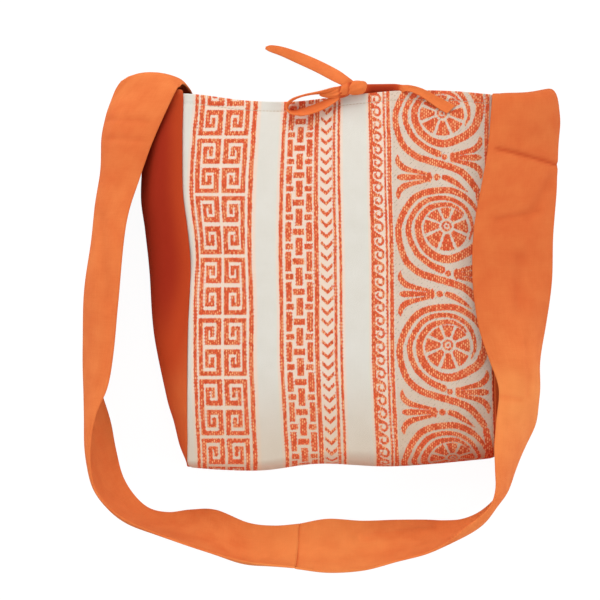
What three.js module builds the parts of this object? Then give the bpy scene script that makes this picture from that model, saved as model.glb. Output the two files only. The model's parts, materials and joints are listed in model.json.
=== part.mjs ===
// A cotton crossbody bag lying on its back, with its shoulder strap laid round it and its tie done up.
// Millimetres. +X runs across the front to the right, +Y towards the mouth, +Z up out of the front panel.
// The origin is on the underside of the back panel, which lies flat on whatever the bag rests on.
import * as THREE from "three";

// Cloth
const PANEL_THICK = 1.6; // patterned cotton of the front and back
const HEM_DEPTH = 9.5; // cloth turned in at the mouth
const HEM_EXTRA = 1.2; // thickness that the turned cloth adds on the inside
const STRIP_THICK = 2; // plain cotton, two layers, of the side strips and the strap
const STRIP_WIDTH = 83;
const RIBBON_THICK = 1.4;
const RIBBON_WIDTH = 12;

// Spaces between pieces
const SEAM_GAP = 1.4; // from a panel's edge to the middle of the strip sewn to it
const JOIN_GAP = 0.6; // between the two strips at the strap's middle seam
const FLOOR_GAP = 0.2; // under every piece but the back panel

// The rounded bottom of the front panel: how much of the cloth it takes and how far it reaches up the bag
const ROUND_SHARE = 0.13;
const ROUND_REACH = 30;
const BOTTOM_HEIGHT = 3.4; // middle of the front cloth where it meets the back cloth

// Both panels' side edges, from the bottom fold (up 0) to the mouth (up 1), with the strip's width there
const SIDES = [
  { up: 0.0, frontLeft: -151, frontRight: 152, backLeft: -151, backRight: 152, strip: 5 },
  { up: 0.08, frontLeft: -149.5, frontRight: 150, backLeft: -150.5, backRight: 150, strip: 30 },
  { up: 0.16, frontLeft: -149, frontRight: 149, backLeft: -152, backRight: 149, strip: 54 },
  { up: 0.28, frontLeft: -149, frontRight: 148, backLeft: -157, backRight: 147, strip: 76 },
  { up: 0.42, frontLeft: -148.5, frontRight: 147, backLeft: -165, backRight: 144, strip: 83 },
  { up: 0.58, frontLeft: -146, frontRight: 146, backLeft: -173, backRight: 141, strip: 83 },
  { up: 0.68, frontLeft: -149, frontRight: 146, backLeft: -178, backRight: 139, strip: 83 },
  { up: 0.77, frontLeft: -153.5, frontRight: 146, backLeft: -180, backRight: 139, strip: 83 },
  { up: 0.9, frontLeft: -154, frontRight: 146.5, backLeft: -168, backRight: 143, strip: 83 },
  { up: 1.0, frontLeft: -153.5, frontRight: 147, backLeft: -151, backRight: 147, strip: 83 },
];

// Height of the front cloth at its two side seams, and how far its middle stands above the line between them
const HEIGHTS = [
  { up: 0.0, left: 40, crown: 0, right: 38 },
  { up: 0.13, left: 40, crown: 1, right: 38 },
  { up: 0.3, left: 43, crown: 4, right: 38 },
  { up: 0.55, left: 42, crown: 4, right: 37 },
  { up: 0.8, left: 39, crown: 0, right: 36 },
  { up: 1.0, left: 36, crown: -8, right: 35 },
];

// The wavy bottom fold and mouth edge, from the left side (across 0) to the right (across 1)
const BOTTOM_EDGE = [
  { across: 0.0, y: -183 },
  { across: 0.1, y: -187.5 },
  { across: 0.24, y: -188 },
  { across: 0.42, y: -182.5 },
  { across: 0.66, y: -184 },
  { across: 0.82, y: -182 },
  { across: 1.0, y: -176.5 },
];
const MOUTH_EDGE = [
  { across: 0.0, y: 179.5 },
  { across: 0.2, y: 177 },
  { across: 0.36, y: 173 },
  { across: 0.52, y: 178.5 },
  { across: 0.7, y: 183.5 },
  { across: 0.87, y: 182.5 },
  { across: 1.0, y: 178.5 },
];

// A dent pressed into the front beside the left seam
const DENT = { x: -140, y: 20, reachX: 24, reachY: 26, depth: 4 };

// The back cloth's hem is drawn up towards the knot
const BACK_LIFT = { x: 15, reachX: 55, fromY: 110, height: 7 };

// The left strip past the mouth: back and front edges of the cloth, and the way it bows where they come close.
// At the fold over the mouth only part of its width lies open; the rest is tucked into the fold.
const LEFT_STRAP = [
  { at: "mouth", back: [-147, 184, 9], front: [-158, 182, 35], belly: [-1, 0.4, -0.5], open: 70 },
  { at: "roll", back: [-148, 189, 22], front: [-180, 187, 27], belly: [-0.3, 1, -0.6], open: 56 },
  { at: "crest", back: [-152, 187, 35], front: [-218, 185, 12], belly: [0, 1, 0.5], open: 83 },
  { at: "shoulder", back: [-161, 179, 45], front: [-229, 175, 4], belly: [-0.6, 0.2, 1] },
  { at: "leg", back: [-181, 134, 47], front: [-236, 142, 2], belly: [-0.7, 0, 0.7] },
  { at: "leg", back: [-194, 96, 50], front: [-239, 101, 2], belly: [-0.7, 0, 0.7] },
  { at: "leg", back: [-206, 52, 58], front: [-244, 55, 2], belly: [-0.8, 0, 0.6] },
  { at: "leg", back: [-213, -20, 63], front: [-250, -18, 2], belly: [-0.8, 0, 0.5] },
  { at: "leg", back: [-217, -70, 67], front: [-252, -58, 2], belly: [-0.9, 0, 0.5] },
  { at: "twist", back: [-222, -102, 72], front: [-246, -90, 2], belly: [-1, 0, 0.3] },
  { at: "twist", back: [-232, -127, 76], front: [-237, -115, 2], belly: [-1, -0.2, 0] },
  { at: "twist", back: [-236.5, -152, 77], front: [-229, -141, 2], belly: [-1, -0.3, 0] },
  { at: "corner", back: [-237, -177, 77], front: [-224, -168, 2], belly: [-1, -0.3, -0.2] },
  { at: "corner", back: [-233.5, -197, 77], front: [-217, -195, 2], belly: [-0.8, -0.5, -0.2] },
  { at: "corner", back: [-222, -213, 77], front: [-205, -215, 2], belly: [-0.6, -0.8, -0.2] },
  { at: "corner", back: [-205, -226, 77], front: [-190, -228, 2], belly: [-0.4, -1, -0.1] },
  { at: "run", back: [-180, -238, 76], front: [-171, -232, 2], belly: [-0.2, -1, -0.1] },
  { at: "run", back: [-155, -249, 72], front: [-149, -229, 3], belly: [-0.1, -1, -0.3] },
  { at: "run", back: [-128, -259, 66], front: [-124, -229, 4], belly: [0, -0.9, -0.5] },
  { at: "run", back: [-96, -268, 63], front: [-92, -242, 3], belly: [0, -0.9, -0.4] },
  { at: "run", back: [-70, -271, 64], front: [-66, -245, 3], belly: [0, -0.9, -0.4] },
  { at: "seam", back: [-45 - JOIN_GAP, -273, 63], front: [-40 - JOIN_GAP, -243, 3], belly: [0, -0.9, -0.4] },
];

// The right strip past the mouth, folded over the bag's side
const RIGHT_STRAP = [
  { at: "mouth", back: [147.5, 181, 8], front: [152, 181, 34], belly: [1, 0.3, -0.5], open: 74 },
  { at: "roll", back: [148, 181, 22], front: [177, 181, 28], belly: [0.8, 0.5, -0.6], open: 56 },
  { at: "crest", back: [147, 177, 39], front: [207, 182, 18], belly: [0.2, 0.7, 0.6], open: 70 },
  { at: "shoulder", back: [144, 159, 44], front: [216, 160, 14], belly: [0.4, 0, 1] },
  { at: "leg", back: [141, 125, 44], front: [215, 133, 15], belly: [0.4, 0, 1] },
  { at: "leg", back: [134, 86, 45], front: [212, 94, 24], belly: [0.3, 0, 1] },
  { at: "leg", back: [127, 45, 46], front: [207, 45, 31], belly: [0.2, 0, 1] },
  { at: "leg", back: [126, 0, 47], front: [206, 0, 30], belly: [0.2, 0, 1] },
  { at: "leg", back: [131, -42, 47], front: [201, -40, 26], belly: [0.3, 0, 1] },
  { at: "leg", back: [141, -76, 51], front: [196, -82, 16], belly: [0.5, 0, 0.9] },
  { at: "leg", back: [150, -105, 57], front: [197, -113, 5], belly: [0.6, 0, 0.8] },
  { at: "twist", back: [147, -134, 64], front: [195, -142, 2], belly: [0.8, 0, 0.6] },
  { at: "twist", back: [144, -158, 71], front: [184, -166, 2], belly: [0.9, -0.1, 0.4] },
  { at: "twist", back: [144, -179, 76], front: [172, -188, 2], belly: [1, -0.3, 0.2] },
  { at: "corner", back: [144, -198, 78], front: [159, -207, 2], belly: [1, -0.5, 0] },
  { at: "corner", back: [139, -213, 78.5], front: [146, -222, 2], belly: [0.9, -0.9, 0] },
  { at: "corner", back: [127, -224, 78], front: [134, -233, 2], belly: [0.6, -1, 0] },
  { at: "corner", back: [111, -234, 77], front: [120, -239, 2], belly: [0.3, -1, -0.1] },
  { at: "run", back: [95, -245, 75], front: [103, -240, 2], belly: [0.1, -1, -0.2] },
  { at: "run", back: [78, -257, 72], front: [84, -239, 3], belly: [0, -1, -0.3] },
  { at: "run", back: [52, -267, 70], front: [56, -239, 4], belly: [0, -0.9, -0.4] },
  { at: "run", back: [20, -275, 65], front: [22, -240, 4], belly: [0, -0.9, -0.5] },
  { at: "run", back: [-12, -278, 61], front: [-12, -238, 4], belly: [0, -0.9, -0.5] },
  { at: "seam", back: [-45, -273, 63], front: [-40, -243, 3], belly: [0, -0.9, -0.4] },
];

// The tie: one row for each bend of a ribbon, with the middle of the ribbon and the way its width lies
const TAIL_LEFT = [
  { middle: [2, 193.5, 36], across: [0.5, 0.85, -0.2] },
  { middle: [-6, 200, 29], across: [0.5, 0.85, 0] },
  { middle: [-22, 211, 13], across: [0.5, 0.85, 0] },
  { middle: [-40, 221, 3], across: [0.45, 0.9, 0] },
  { middle: [-57, 228, 1], across: [0.3, 0.95, 0] },
  { middle: [-73, 232, 1], across: [0.2, 1, 0] },
];
const LOOP = [
  { middle: [-4, 184, 38], across: [0.1, 1, 0.2] },
  { middle: [-20, 182, 39], across: [0, 0.8, 0.6] },
  { middle: [-36, 178, 38], across: [0, 0.2, 1] },
  { middle: [-49, 171, 37], across: [0, 0, 1] },
  { middle: [-54, 164, 37], across: [0, 0, 1] },
  { middle: [-48, 159, 37], across: [0, -0.2, 1] },
  { middle: [-30, 161, 36], across: [0.1, -0.5, 0.9] },
  { middle: [-14, 167, 36], across: [0.2, -0.6, 0.8] },
  { middle: [-4, 173, 35], across: [0.3, -0.7, 0.7] },
];
const TAIL_RIGHT = [
  { middle: [23, 188, 22], across: [0.1, 1, 0.2] },
  { middle: [32, 187, 17.5], across: [0, 1, 0] },
  { middle: [44, 186, 17], across: [0, 1, 0] },
  { middle: [55, 187.5, 19], across: [0.2, 1, 0] },
  { middle: [64, 191, 25], across: [0.7, 0.7, 0] },
  { middle: [69, 191, 33], across: [0.9, 0.4, 0.1] },
  { middle: [76, 184, 37], across: [0.75, 0.65, 0] },
  { middle: [87, 177, 36], across: [0.5, 0.86, 0] },
  { middle: [99, 171, 36], across: [0.45, 0.9, 0] },
  { middle: [109, 165, 36], across: [0.4, 0.9, 0] },
];
const ROOT_FRONT = [
  { middle: [33, 174, 22], across: [1, 0, 0.1] },
  { middle: [32, 183, 22.5], across: [1, 0.2, 0.2] },
  { middle: [30, 190, 26], across: [0.8, 0.5, 0.3] },
  { middle: [26, 190.5, 32], across: [0.4, 0.8, 0.3] },
];
const ROOT_BACK = [
  { middle: [16, 170, 10], across: [1, 0, 0] },
  { middle: [16, 180, 11], across: [1, 0, 0] },
  { middle: [15, 186, 17], across: [1, 0, 0] },
  { middle: [14, 187, 25], across: [1, 0, 0] },
];
const ROOT_WIDTH = 9; // the tie's ends are gathered where they run into the knot

// The knot: oval sections along its length, from the pleats on the left to the wrap on the right
const KNOT = [
  { x: -1.5, y: 182, z: 34.5, high: 4.4, deep: 3.4 },
  { x: 3, y: 183, z: 34.5, high: 5.8, deep: 5.4 },
  { x: 9, y: 185, z: 35, high: 5.2, deep: 5.4 },
  { x: 13, y: 186.5, z: 35.5, high: 8, deep: 6.8 },
  { x: 18, y: 187, z: 35.5, high: 8.2, deep: 7 },
  { x: 21.5, y: 187, z: 35, high: 4.4, deep: 4 },
];

const cotton = (name, color) => new THREE.MeshStandardMaterial({ name, color, roughness: 0.9, metalness: 0 });
const patternedCotton = cotton("patterned_cotton", 0xdfa98c);
const orangeCotton = cotton("orange_cotton", 0xe8803f);
const tieCotton = cotton("tie_cotton", 0xe57a3a);

// A smooth line through one column of a table: cubic pieces whose slope at each row is that of its neighbours.
function column(rows, place, name) {
  const slopes = rows.map((row, i) => {
    const before = rows[Math.max(i - 1, 0)];
    const after = rows[Math.min(i + 1, rows.length - 1)];
    return (after[name] - before[name]) / (after[place] - before[place]);
  });
  return (at) => {
    let i = rows.findIndex((row) => row[place] >= at) - 1;
    if (i < 0) i = at <= rows[0][place] ? 0 : rows.length - 2;
    const step = rows[i + 1][place] - rows[i][place];
    const t = (at - rows[i][place]) / step;
    const rise = rows[i + 1][name] - rows[i][name];
    const a = slopes[i] * step - rise;
    const b = -slopes[i + 1] * step + rise;
    return rows[i][name] + t * rise + t * (1 - t) * ((1 - t) * a + t * b);
  };
}

const sides = Object.fromEntries(
  ["frontLeft", "frontRight", "backLeft", "backRight", "strip"].map((name) => [name, column(SIDES, "up", name)]),
);
const heights = Object.fromEntries(
  ["left", "crown", "right"].map((name) => [name, column(HEIGHTS, "up", name)]),
);
const bottomY = column(BOTTOM_EDGE, "across", "y");
const mouthY = column(MOUTH_EDGE, "across", "y");

// How far up the bag the cloth is at a share of its length: round the bottom first, then straight to the mouth.
function placeAlong(across, up) {
  const low = bottomY(across);
  if (up <= ROUND_SHARE) {
    return low + ROUND_REACH * (1 - Math.cos((up / ROUND_SHARE) * (Math.PI / 2)));
  }
  const share = (up - ROUND_SHARE) / (1 - ROUND_SHARE);
  return low + ROUND_REACH + share * (mouthY(across) - low - ROUND_REACH);
}

const bell = (distance, reach) => Math.exp(-((distance / reach) ** 2));

// The middle of the front cloth.
function frontPoint(across, up) {
  const x = THREE.MathUtils.lerp(sides.frontLeft(up), sides.frontRight(up), across);
  const y = placeAlong(across, up);
  const seam = THREE.MathUtils.lerp(heights.left(up), heights.right(up), across);
  const full = seam + 4 * across * (1 - across) * heights.crown(up);
  const rounding = up < ROUND_SHARE ? Math.sin((up / ROUND_SHARE) * (Math.PI / 2)) : 1;
  const dent = DENT.depth * bell(x - DENT.x, DENT.reachX) * bell(y - DENT.y, DENT.reachY);
  return new THREE.Vector3(x, y, BOTTOM_HEIGHT + (full - BOTTOM_HEIGHT) * rounding - dent * rounding);
}

// The middle of the back cloth: flat, apart from the hem that the tie draws up.
function backPoint(across, up) {
  const x = THREE.MathUtils.lerp(sides.backLeft(up), sides.backRight(up), across);
  const y = placeAlong(across, up);
  const run = THREE.MathUtils.clamp((y - BACK_LIFT.fromY) / (mouthY(across) - BACK_LIFT.fromY), 0, 1);
  const lift = BACK_LIFT.height * run * run * bell(x - BACK_LIFT.x, BACK_LIFT.reachX);
  return new THREE.Vector3(x, y, PANEL_THICK / 2 + lift);
}

// A closed wall round a grid of points: point(u, v) on the middle of the cloth, u and v from 0 to 1,
// with inside(v) and outside(v) the cloth's reach on either side of it.
function wall(point, columns, rows, inside, outside) {
  const at = (i, j) => point(i / columns, j / rows);
  const index = (i, j) => j * (columns + 1) + i;
  const middle = [];
  for (let j = 0; j <= rows; j++) {
    for (let i = 0; i <= columns; i++) middle.push(at(i, j));
  }
  const outer = [];
  const inner = [];
  for (let j = 0; j <= rows; j++) {
    for (let i = 0; i <= columns; i++) {
      const acrossCloth = middle[index(Math.min(i + 1, columns), j)].clone();
      acrossCloth.sub(middle[index(Math.max(i - 1, 0), j)]);
      const alongCloth = middle[index(i, Math.min(j + 1, rows))].clone();
      alongCloth.sub(middle[index(i, Math.max(j - 1, 0))]);
      const normal = acrossCloth.cross(alongCloth).normalize();
      const here = middle[index(i, j)];
      outer.push(here.clone().addScaledVector(normal, outside(j / rows)));
      inner.push(here.clone().addScaledVector(normal, -inside(j / rows)));
    }
  }
  const count = middle.length;
  const faces = [];
  const quad = (a, b, c, d) => faces.push(a, b, c, a, c, d);
  for (let j = 0; j < rows; j++) {
    for (let i = 0; i < columns; i++) {
      const [a, b, c, d] = [index(i, j), index(i + 1, j), index(i + 1, j + 1), index(i, j + 1)];
      quad(a, b, c, d);
      quad(count + d, count + c, count + b, count + a);
    }
  }
  for (let i = 0; i < columns; i++) {
    quad(index(i + 1, 0), index(i, 0), count + index(i, 0), count + index(i + 1, 0));
    quad(index(i, rows), index(i + 1, rows), count + index(i + 1, rows), count + index(i, rows));
  }
  for (let j = 0; j < rows; j++) {
    quad(index(0, j), index(0, j + 1), count + index(0, j + 1), count + index(0, j));
    quad(index(columns, j + 1), index(columns, j), count + index(columns, j), count + index(columns, j + 1));
  }
  const points = [...outer, ...inner].flatMap((p) => [p.x, p.y, p.z]);
  const geometry = new THREE.BufferGeometry();
  geometry.setAttribute("position", new THREE.Float32BufferAttribute(points, 3));
  geometry.setIndex(faces);
  return geometry;
}

// How deep cloth of a given width bows between two edges a chord apart: the arc whose length is the width.
function bowDepth(chord, width) {
  if (chord >= width) return 0;
  let [low, high] = [0, Math.PI];
  for (let i = 0; i < 40; i++) {
    const half = (low + high) / 2;
    if (Math.sin(half) / half > chord / width) low = half;
    else high = half;
  }
  return (width / (2 * low)) * (1 - Math.cos(low));
}

// One station of a strip: its two edges, and the vector from the middle of the chord to the middle of the cloth.
function station(back, front, belly, width) {
  const chord = front.clone().sub(back);
  const long = chord.length();
  const bow = belly.clone().addScaledVector(chord, -belly.dot(chord) / (long * long)).normalize();
  return { back, front, bow: bow.multiplyScalar(bowDepth(long, width)) };
}

// The stations of a strip along its side of the bag, from the pointed end at the bottom to the mouth.
function gussetStations(side) {
  const [front, back, edge] = side < 0 ? ["frontLeft", "backLeft", 0] : ["frontRight", "backRight", 1];
  return SIDES.map(({ up }) => {
    const seam = frontPoint(edge, Math.max(up, 0.012));
    const frontEdge = new THREE.Vector3(sides[front](up) + side * SEAM_GAP, seam.y, seam.z);
    const backEdge = new THREE.Vector3(sides[back](up) + side * SEAM_GAP, seam.y, stripRest);
    return station(backEdge, frontEdge, new THREE.Vector3(side, 0, 0), sides.strip(up));
  });
}

const stripRest = STRIP_THICK / 2 + FLOOR_GAP;
const vector = (xyz) => new THREE.Vector3(...xyz);

// A strip of cloth through its stations. Each section is the arc through the back edge, the bowed middle and
// the front edge; edges and bow run smoothly from station to station, and nothing goes below the floor.
function stripPoint(stations) {
  const [back, front, bow] = ["back", "front", "bow"].map(
    (rail) => new THREE.CatmullRomCurve3(stations.map((row) => row[rail]), false, "catmullrom", 0.5),
  );
  return (across, along) => {
    const [from, to, bowed] = [back.getPoint(along), front.getPoint(along), bow.getPoint(along)];
    const half = to.clone().sub(from).multiplyScalar(0.5);
    const angle = Math.max(2 * Math.atan2(bowed.length(), half.length()), 1e-3);
    const turn = angle * (2 * across - 1);
    const point = from.add(half);
    point.addScaledVector(half, Math.sin(turn) / Math.sin(angle));
    point.addScaledVector(bowed, (Math.cos(turn) - Math.cos(angle)) / (1 - Math.cos(angle)));
    point.z = Math.max(point.z, stripRest);
    return point;
  };
}

function sideStrip(name, side, strap) {
  const free = strap.map(({ back, front, belly, open = STRIP_WIDTH }) =>
    station(vector(back), vector(front), vector(belly), open),
  );
  const stations = [...gussetStations(side), ...free];
  const point = stripPoint(stations);
  const facing = side < 0 ? point : (across, along) => point(1 - across, along);
  const half = () => STRIP_THICK / 2;
  return named(name, wall(facing, 7, Math.round((stations.length - 1) * 2.5), half, half), orangeCotton);
}

// A flat ribbon along the rows of a table.
function ribbon(name, table, width, stepsPerRow) {
  const middle = new THREE.CatmullRomCurve3(table.map((row) => vector(row.middle)), false, "catmullrom", 0.5);
  const acrossWay = new THREE.CatmullRomCurve3(table.map((row) => vector(row.across)), false, "catmullrom", 0.5);
  const point = (across, along) =>
    middle.getPoint(along).addScaledVector(acrossWay.getPoint(along).normalize(), width * (across - 0.5));
  const half = () => RIBBON_THICK / 2;
  return named(name, wall(point, 2, (table.length - 1) * stepsPerRow, half, half), tieCotton);
}

// A closed body of oval sections, each standing across X.
function ovalBody(table, sidesRound) {
  const points = [];
  const faces = [];
  for (const { x, y, z, high, deep } of table) {
    for (let i = 0; i < sidesRound; i++) {
      const turn = (i / sidesRound) * 2 * Math.PI;
      points.push(x, y + high * Math.cos(turn), z + deep * Math.sin(turn));
    }
  }
  const ring = (j, i) => j * sidesRound + (i % sidesRound);
  for (let j = 0; j + 1 < table.length; j++) {
    for (let i = 0; i < sidesRound; i++) {
      faces.push(ring(j, i), ring(j, i + 1), ring(j + 1, i + 1), ring(j, i), ring(j + 1, i + 1), ring(j + 1, i));
    }
  }
  const last = table.length - 1;
  for (let i = 1; i + 1 < sidesRound; i++) {
    faces.push(ring(0, 0), ring(0, i + 1), ring(0, i), ring(last, 0), ring(last, i), ring(last, i + 1));
  }
  const geometry = new THREE.BufferGeometry();
  geometry.setAttribute("position", new THREE.Float32BufferAttribute(points, 3));
  geometry.setIndex(faces);
  return geometry;
}

function named(name, geometry, material) {
  const mesh = new THREE.Mesh(geometry, material);
  mesh.name = name;
  return mesh;
}

const halfPanel = () => PANEL_THICK / 2;
const hemFrom = 1 - HEM_DEPTH / (mouthY(0.5) - bottomY(0.5));
const hemInside = (up) => PANEL_THICK / 2 + (up > hemFrom ? HEM_EXTRA : 0);

const group = new THREE.Group();
group.add(
  named("front_panel", wall(frontPoint, 18, 26, hemInside, halfPanel), patternedCotton),
  named("back_panel", wall(backPoint, 10, 16, halfPanel, halfPanel), patternedCotton),
  sideStrip("side_strip_left", -1, LEFT_STRAP),
  sideStrip("side_strip_right", 1, RIGHT_STRAP),
  named("tie_knot", ovalBody(KNOT, 14), tieCotton),
  ribbon("tie_tail_left", TAIL_LEFT, RIBBON_WIDTH, 3),
  ribbon("tie_loop", LOOP, RIBBON_WIDTH, 3),
  ribbon("tie_tail_right", TAIL_RIGHT, RIBBON_WIDTH, 3),
  ribbon("tie_root_front", ROOT_FRONT, ROOT_WIDTH, 3),
  ribbon("tie_root_back", ROOT_BACK, ROOT_WIDTH, 3),
);

export default group;
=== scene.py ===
"""A cotton crossbody bag lying on its back, with its strap laid round it and its ribbon tie done up.

Tables and sizes are in millimetres, as the pieces were measured. Meshes are in metres.
"""
import json

import bpy
import numpy as np
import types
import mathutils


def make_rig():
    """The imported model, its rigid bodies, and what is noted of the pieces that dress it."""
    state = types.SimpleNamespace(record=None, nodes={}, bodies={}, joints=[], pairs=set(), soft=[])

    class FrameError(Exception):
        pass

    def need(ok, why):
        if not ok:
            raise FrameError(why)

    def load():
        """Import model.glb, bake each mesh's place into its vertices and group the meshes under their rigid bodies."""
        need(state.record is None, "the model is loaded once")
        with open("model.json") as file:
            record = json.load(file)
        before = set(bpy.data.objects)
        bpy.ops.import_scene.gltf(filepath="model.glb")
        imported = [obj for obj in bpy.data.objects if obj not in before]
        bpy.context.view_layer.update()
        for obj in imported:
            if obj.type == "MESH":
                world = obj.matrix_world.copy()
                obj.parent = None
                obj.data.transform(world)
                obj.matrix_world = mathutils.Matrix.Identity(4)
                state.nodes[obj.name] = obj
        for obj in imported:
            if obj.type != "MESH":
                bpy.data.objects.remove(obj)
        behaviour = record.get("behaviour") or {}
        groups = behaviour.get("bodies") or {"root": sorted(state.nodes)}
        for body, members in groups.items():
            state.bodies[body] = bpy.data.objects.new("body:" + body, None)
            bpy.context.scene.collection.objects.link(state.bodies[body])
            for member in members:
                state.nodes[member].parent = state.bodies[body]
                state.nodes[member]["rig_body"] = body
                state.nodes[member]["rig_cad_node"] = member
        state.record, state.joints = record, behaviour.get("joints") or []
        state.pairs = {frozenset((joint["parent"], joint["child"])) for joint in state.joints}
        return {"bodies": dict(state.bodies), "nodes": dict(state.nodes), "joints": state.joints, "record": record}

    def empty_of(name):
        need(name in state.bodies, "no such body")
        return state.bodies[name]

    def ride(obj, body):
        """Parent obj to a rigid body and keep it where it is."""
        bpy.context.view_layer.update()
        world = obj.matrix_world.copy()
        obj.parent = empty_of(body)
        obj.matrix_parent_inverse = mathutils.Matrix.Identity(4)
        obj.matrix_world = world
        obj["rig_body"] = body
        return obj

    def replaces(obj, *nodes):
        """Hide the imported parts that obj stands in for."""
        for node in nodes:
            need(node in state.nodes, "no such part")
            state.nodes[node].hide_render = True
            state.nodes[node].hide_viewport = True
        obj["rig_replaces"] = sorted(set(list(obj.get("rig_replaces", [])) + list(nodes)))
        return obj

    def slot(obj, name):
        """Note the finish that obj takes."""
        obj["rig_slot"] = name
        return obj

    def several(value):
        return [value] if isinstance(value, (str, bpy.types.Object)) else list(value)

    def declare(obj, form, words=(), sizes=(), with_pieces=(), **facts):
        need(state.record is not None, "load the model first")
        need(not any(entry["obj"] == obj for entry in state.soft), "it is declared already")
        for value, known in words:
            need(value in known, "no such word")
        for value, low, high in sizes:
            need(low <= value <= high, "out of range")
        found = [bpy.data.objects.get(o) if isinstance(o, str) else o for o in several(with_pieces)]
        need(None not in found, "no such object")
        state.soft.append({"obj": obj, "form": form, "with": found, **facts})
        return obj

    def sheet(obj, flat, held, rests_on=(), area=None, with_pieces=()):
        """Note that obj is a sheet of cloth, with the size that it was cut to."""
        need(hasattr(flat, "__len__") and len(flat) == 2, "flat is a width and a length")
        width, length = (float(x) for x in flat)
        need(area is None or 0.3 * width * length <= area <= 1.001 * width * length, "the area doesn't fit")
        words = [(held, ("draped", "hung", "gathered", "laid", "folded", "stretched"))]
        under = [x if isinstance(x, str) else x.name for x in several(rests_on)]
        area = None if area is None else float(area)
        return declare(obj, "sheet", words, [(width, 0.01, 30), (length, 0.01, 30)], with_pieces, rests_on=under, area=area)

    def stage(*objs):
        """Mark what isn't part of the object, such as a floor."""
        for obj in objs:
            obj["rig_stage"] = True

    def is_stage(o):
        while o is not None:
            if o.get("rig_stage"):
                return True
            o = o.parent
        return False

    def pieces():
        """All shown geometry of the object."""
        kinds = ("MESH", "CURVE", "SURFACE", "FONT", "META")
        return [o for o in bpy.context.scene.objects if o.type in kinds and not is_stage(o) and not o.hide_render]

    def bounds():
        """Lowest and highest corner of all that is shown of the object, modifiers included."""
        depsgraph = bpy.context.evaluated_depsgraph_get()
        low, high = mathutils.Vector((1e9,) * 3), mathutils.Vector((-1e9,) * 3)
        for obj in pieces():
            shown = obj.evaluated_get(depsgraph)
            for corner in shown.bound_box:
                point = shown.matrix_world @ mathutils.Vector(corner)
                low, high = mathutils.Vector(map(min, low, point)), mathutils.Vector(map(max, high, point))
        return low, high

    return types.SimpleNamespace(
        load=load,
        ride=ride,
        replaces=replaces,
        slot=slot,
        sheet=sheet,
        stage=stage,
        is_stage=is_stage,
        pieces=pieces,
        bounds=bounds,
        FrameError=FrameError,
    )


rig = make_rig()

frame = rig.load()
cad_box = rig.bounds()

MM = 0.001

# Cloth
PANEL_THICK = 1.6
STRIP_THICK, STRIP_WIDTH, STRIP_ROUND = 2.0, 83.0, 1.6
RIBBON_THICK, RIBBON_WIDTH, RIBBON_ROUND = 1.4, 12.0, 0.7
# Cut sizes of the panels: width, length
FRONT_FLAT, BACK_FLAT = (300, 395), (320, 372)
# The least width or length that a ribbon is cut to
LEAST_CUT = 10.0
# The mouth's hem: depth, how much thicker it is, and the stretch over which it thickens
HEM_DEPTH, HEM_EXTRA, HEM_STEP = 9.5, 1.2, 2.0
# The groove of the hem's stitches: how far it lies inside the hem, depth, reach
HEM_INSET, HEM_GROOVE, HEM_REACH = 1.0, 0.6, 1.3
# The front's face sinks at the side seams, and its ripples die out towards them
SEAM_SINK, SEAM_REACH, SEAM_CALM = 1.2, 4.0, 25.0

# Spaces: how far the side strips' edges lie outside the panels' and under the front's, how far the strap's
# halves lap at their join, and the height above the floor
SEAM_TUCK = 0.1
SEAM_DROP = 0.4
JOIN_LAP = 0.05
FLOOR_GAP = 0.2
STRIP_REST = STRIP_THICK / 2 + FLOOR_GAP
# The strap's halves are thinner where they join: share of the thickness, reach
JOIN_PINCH, JOIN_REACH = 0.2, 1.2

# The rounded bottom of the front panel, and how far up the bag the side strips' seams begin
ROUND_SHARE = 0.13
ROUND_LEFT, ROUND_RIGHT = 10.0, 24.0
BOTTOM_HEIGHT = 3.4
SEAM_FROM = 0.012

# Fineness of the surfaces
FRONT_STEP = 1.17
BACK_STEP = 1.55
LINING_STEP = 12
STRIP_STEP, STRIP_COLUMNS = 2.6, 32
# A strip's length is the mean along these lines, given across its width, in this many steps
SPINE_LINES, SPINE_STEPS = np.array([0.25, 0.5, 0.75]), 900
RIBBON_STEPS, RIBBON_COLUMNS = 14, 10
STROKE_STEPS = 6
KNOT_ROWS, KNOT_COLUMNS = 28, 56
# Columns of a rounded edge, in shares of its rounding, and where the evenly spaced ones begin
EDGE_COLUMNS, EVEN_FROM = np.array([0, 0.12, 0.4, 0.75]), 1.4
# The cloth's map has one unit for 100 mm
CLOTH_UNIT = 0.01

# The floor: half its width, how much light it sends back to the bag, and the base and glow that the camera
# sees
FLOOR_REACH = 3000.0
FLOOR_DULL = 0.65
FLOOR_BASE, FLOOR_GLOW = 0.1, 0.95

# Soft square lights aimed at the bag: name, place and size in metres, power in watts
LIGHTS = (
    ("from_mouth", (-0.2, 1.6, 1.0), 1.4, 22.0),
    ("from_bottom", (0.1, -1.5, 0.8), 1.2, 4.5),
    ("from_left", (-1.6, 0.1, 1.0), 1.0, 11.0),
    ("from_right", (1.6, -0.4, 0.9), 1.0, 14.5),
)
ROOM_LIGHT = 0.4

# The photograph's camera: where it hangs over the bag, its frame in pixels and on the floor, lens and sensor
CAMERA = np.array([-40.0, -20.0, 1250.0])
FRAME_PIXELS = 600
FRAME_WIDTH = 600.0
CAMERA_LENS = 75.0
CAMERA_SENSOR = 36.0

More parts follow.
